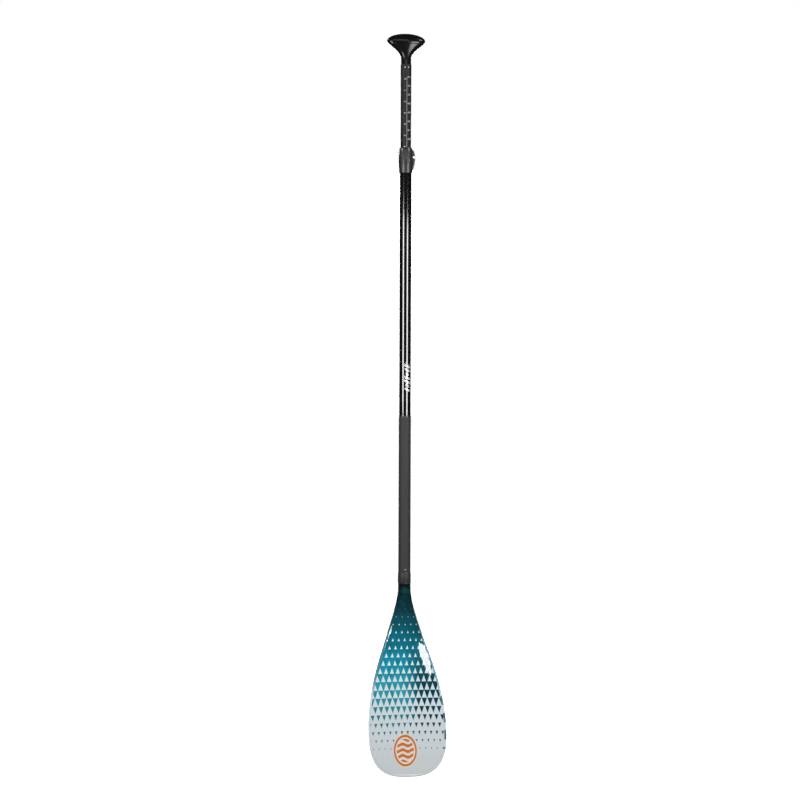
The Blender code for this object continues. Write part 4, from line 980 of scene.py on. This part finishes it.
rail_plastic = new_material("pale_rail_plastic", (0.58, 0.60, 0.61), 0.38, specular=0.45)
m = rail_plastic
uv = add(m, "ShaderNodeUVMap", uv_map="rail").outputs[0]
flat_xy = add(m, "ShaderNodeSeparateXYZ", {0: uv}).outputs
rail_x, along = flat_xy[0], flat_xy[1]
tone = ramp(remap(m, along, 0.05, 0.43, 0.0, 1.0), [
    (0.00, (0.003, 0.050, 0.065)), (0.10, (0.004, 0.070, 0.095)), (0.30, (0.006, 0.130, 0.190)),
    (0.42, (0.020, 0.200, 0.270)), (0.56, (0.58, 0.66, 0.70)), (1.00, (0.60, 0.63, 0.64))])
WEDGE_FROM, WEDGE_TO, WEDGE_PITCH = 0.2540, 0.3720, 0.0380
beat = calc(m, "FRACT", calc(m, "DIVIDE", calc(m, "SUBTRACT", along, WEDGE_FROM), WEDGE_PITCH))
wedge = calc(m, "MULTIPLY", calc(m, "LESS_THAN", beat, 0.55), calc(m, "GREATER_THAN", rail_x, 0.0))
wedge = calc(m, "MULTIPLY", wedge, calc(m, "MULTIPLY", calc(m, "GREATER_THAN", along, WEDGE_FROM),
                                        calc(m, "LESS_THAN", along, WEDGE_TO)))
feed(m, "Base Color", mixed(m, wedge, tone, (0.010, 0.085, 0.120)))
surface(rail_plastic, 0.30, 0.46, 90.0, grain=0.00003)
finish_piece("moulded_edge_rail", rail_bm, rail_plastic, "paddle", "rail_plastic", "edge_rail", sharp=60.0)


# ---------------------------------------------------------------------------- studio
# A plain pale floor just under the blade and plain soft light: soft boxes in front, above and
# behind draw the highlights, wide fills light the colours, and the surround is even and pale.

FLOOR_Z = cad_box[0].z - 0.02
SURROUND_LIGHT, SURROUND_SEEN = 0.10, 1.0
floor_bm = bmesh.new()
bmesh.ops.create_circle(floor_bm, cap_ends=True, segments=96, radius=60.0,
                        matrix=Matrix.Translation((0, 0, FLOOR_Z)))
floor_mesh = bpy.data.meshes.new("pale_floor")
floor_bm.to_mesh(floor_mesh)
floor_bm.free()
floor = bpy.data.objects.new("pale_floor", floor_mesh)
bpy.context.scene.collection.objects.link(floor)
floor_paint = new_material("pale_studio_floor", (0.93, 0.93, 0.93), 0.9, specular=0.1,
                           Emission_Color=(1.0, 1.0, 1.0, 1.0), Emission_Strength=1.0)
floor_mesh.materials.append(floor_paint)
floor.visible_glossy = False
floor.visible_diffuse = False

world = bpy.data.worlds.new("pale_surround")
world.use_nodes = True
backdrop = world.node_tree.nodes["Background"]
backdrop.inputs[0].default_value = (1.0, 1.0, 1.0, 1.0)
seen = world.node_tree.nodes.new("ShaderNodeLightPath").outputs["Is Camera Ray"]
level = world.node_tree.nodes.new("ShaderNodeMapRange")
level.inputs[3].default_value = SURROUND_LIGHT
level.inputs[4].default_value = SURROUND_SEEN
world.node_tree.links.new(seen, level.inputs[0])
world.node_tree.links.new(level.outputs[0], backdrop.inputs[1])
bpy.context.scene.world = world

VIEW_HEIGHT = -0.0588
VIEW_DISTANCE = 5.0
VIEW_TURN = math.radians(-10.0)
VIEW_ROLL = math.radians(0.2)
VIEW_ASIDE = -0.0111
VIEW_LENS = 99.7
right = Vector((math.cos(VIEW_TURN), math.sin(VIEW_TURN), 0.0))
back_off = Vector((math.sin(VIEW_TURN), -math.cos(VIEW_TURN), 0.0))


def soft_box(name, turn_deg, distance, low, high, width, power, shine=True):
    """A soft box that faces the shaft, turn_deg round from the camera's side. It draws highlights
    when shine is set, and otherwise only lights the colours."""
    turn = VIEW_TURN + math.radians(turn_deg)
    away = Vector((math.sin(turn), -math.cos(turn), 0.0))
    light = bpy.data.lights.new(name, "AREA")
    light.shape = "RECTANGLE"
    light.size = width
    light.size_y = high - low
    light.energy = power
    lamp = bpy.data.objects.new(name, light)
    lamp.location = away * distance + Vector((0, 0, (low + high) / 2))
    lamp.rotation_mode = "QUATERNION"
    lamp.rotation_quaternion = away.to_track_quat("Z", "Y")
    lamp.visible_diffuse = not shine
    lamp.visible_glossy = shine
    bpy.context.scene.collection.objects.link(lamp)


soft_box("left_soft_box", -38.0, 2.0, -0.102, 0.534, 0.775, 53.2)
soft_box("right_soft_box", 38.0, 2.0, -0.144, 0.510, 0.775, 54.7)
soft_box("left_fill", -42.0, 3.2, -0.9, 1.1, 1.8, 68.0, shine=False)
soft_box("right_fill", 42.0, 3.2, -0.9, 1.1, 1.8, 68.0, shine=False)
soft_box("left_crown_box", -70.0, 1.8, 1.40, 1.60, 0.20, 45.0)
soft_box("right_crown_box", 60.0, 1.8, 1.40, 1.60, 0.20, 45.0)
soft_box("crown_soft_box", 0.0, 2.0, 0.98, 1.36, 1.6, 16.0)
soft_box("back_left_soft_box", -160.0, 1.9, -0.6, 0.9, 0.4, 30.0)
soft_box("back_right_soft_box", 160.0, 1.9, -0.6, 0.9, 0.4, 30.0)
soft_box("back_fill", 180.0, 3.2, -0.9, 1.1, 2.2, 90.0, shine=False)

camera_data = bpy.data.cameras.new("front_camera")
camera_data.sensor_width = 36.0
camera_data.lens = VIEW_LENS
camera_data.clip_end = 200.0
camera = bpy.data.objects.new("front_camera", camera_data)
aim = Vector((0.0, 0.0, VIEW_HEIGHT)) + right * VIEW_ASIDE
camera.location = aim + back_off * VIEW_DISTANCE
camera.rotation_mode = "QUATERNION"
camera.rotation_quaternion = (back_off.to_track_quat("Z", "Y")
                              @ Quaternion((0.0, 0.0, 1.0), VIEW_ROLL))
bpy.context.scene.collection.objects.link(camera)
bpy.context.scene.camera = camera
bpy.context.scene.view_settings.view_transform = "Standard"
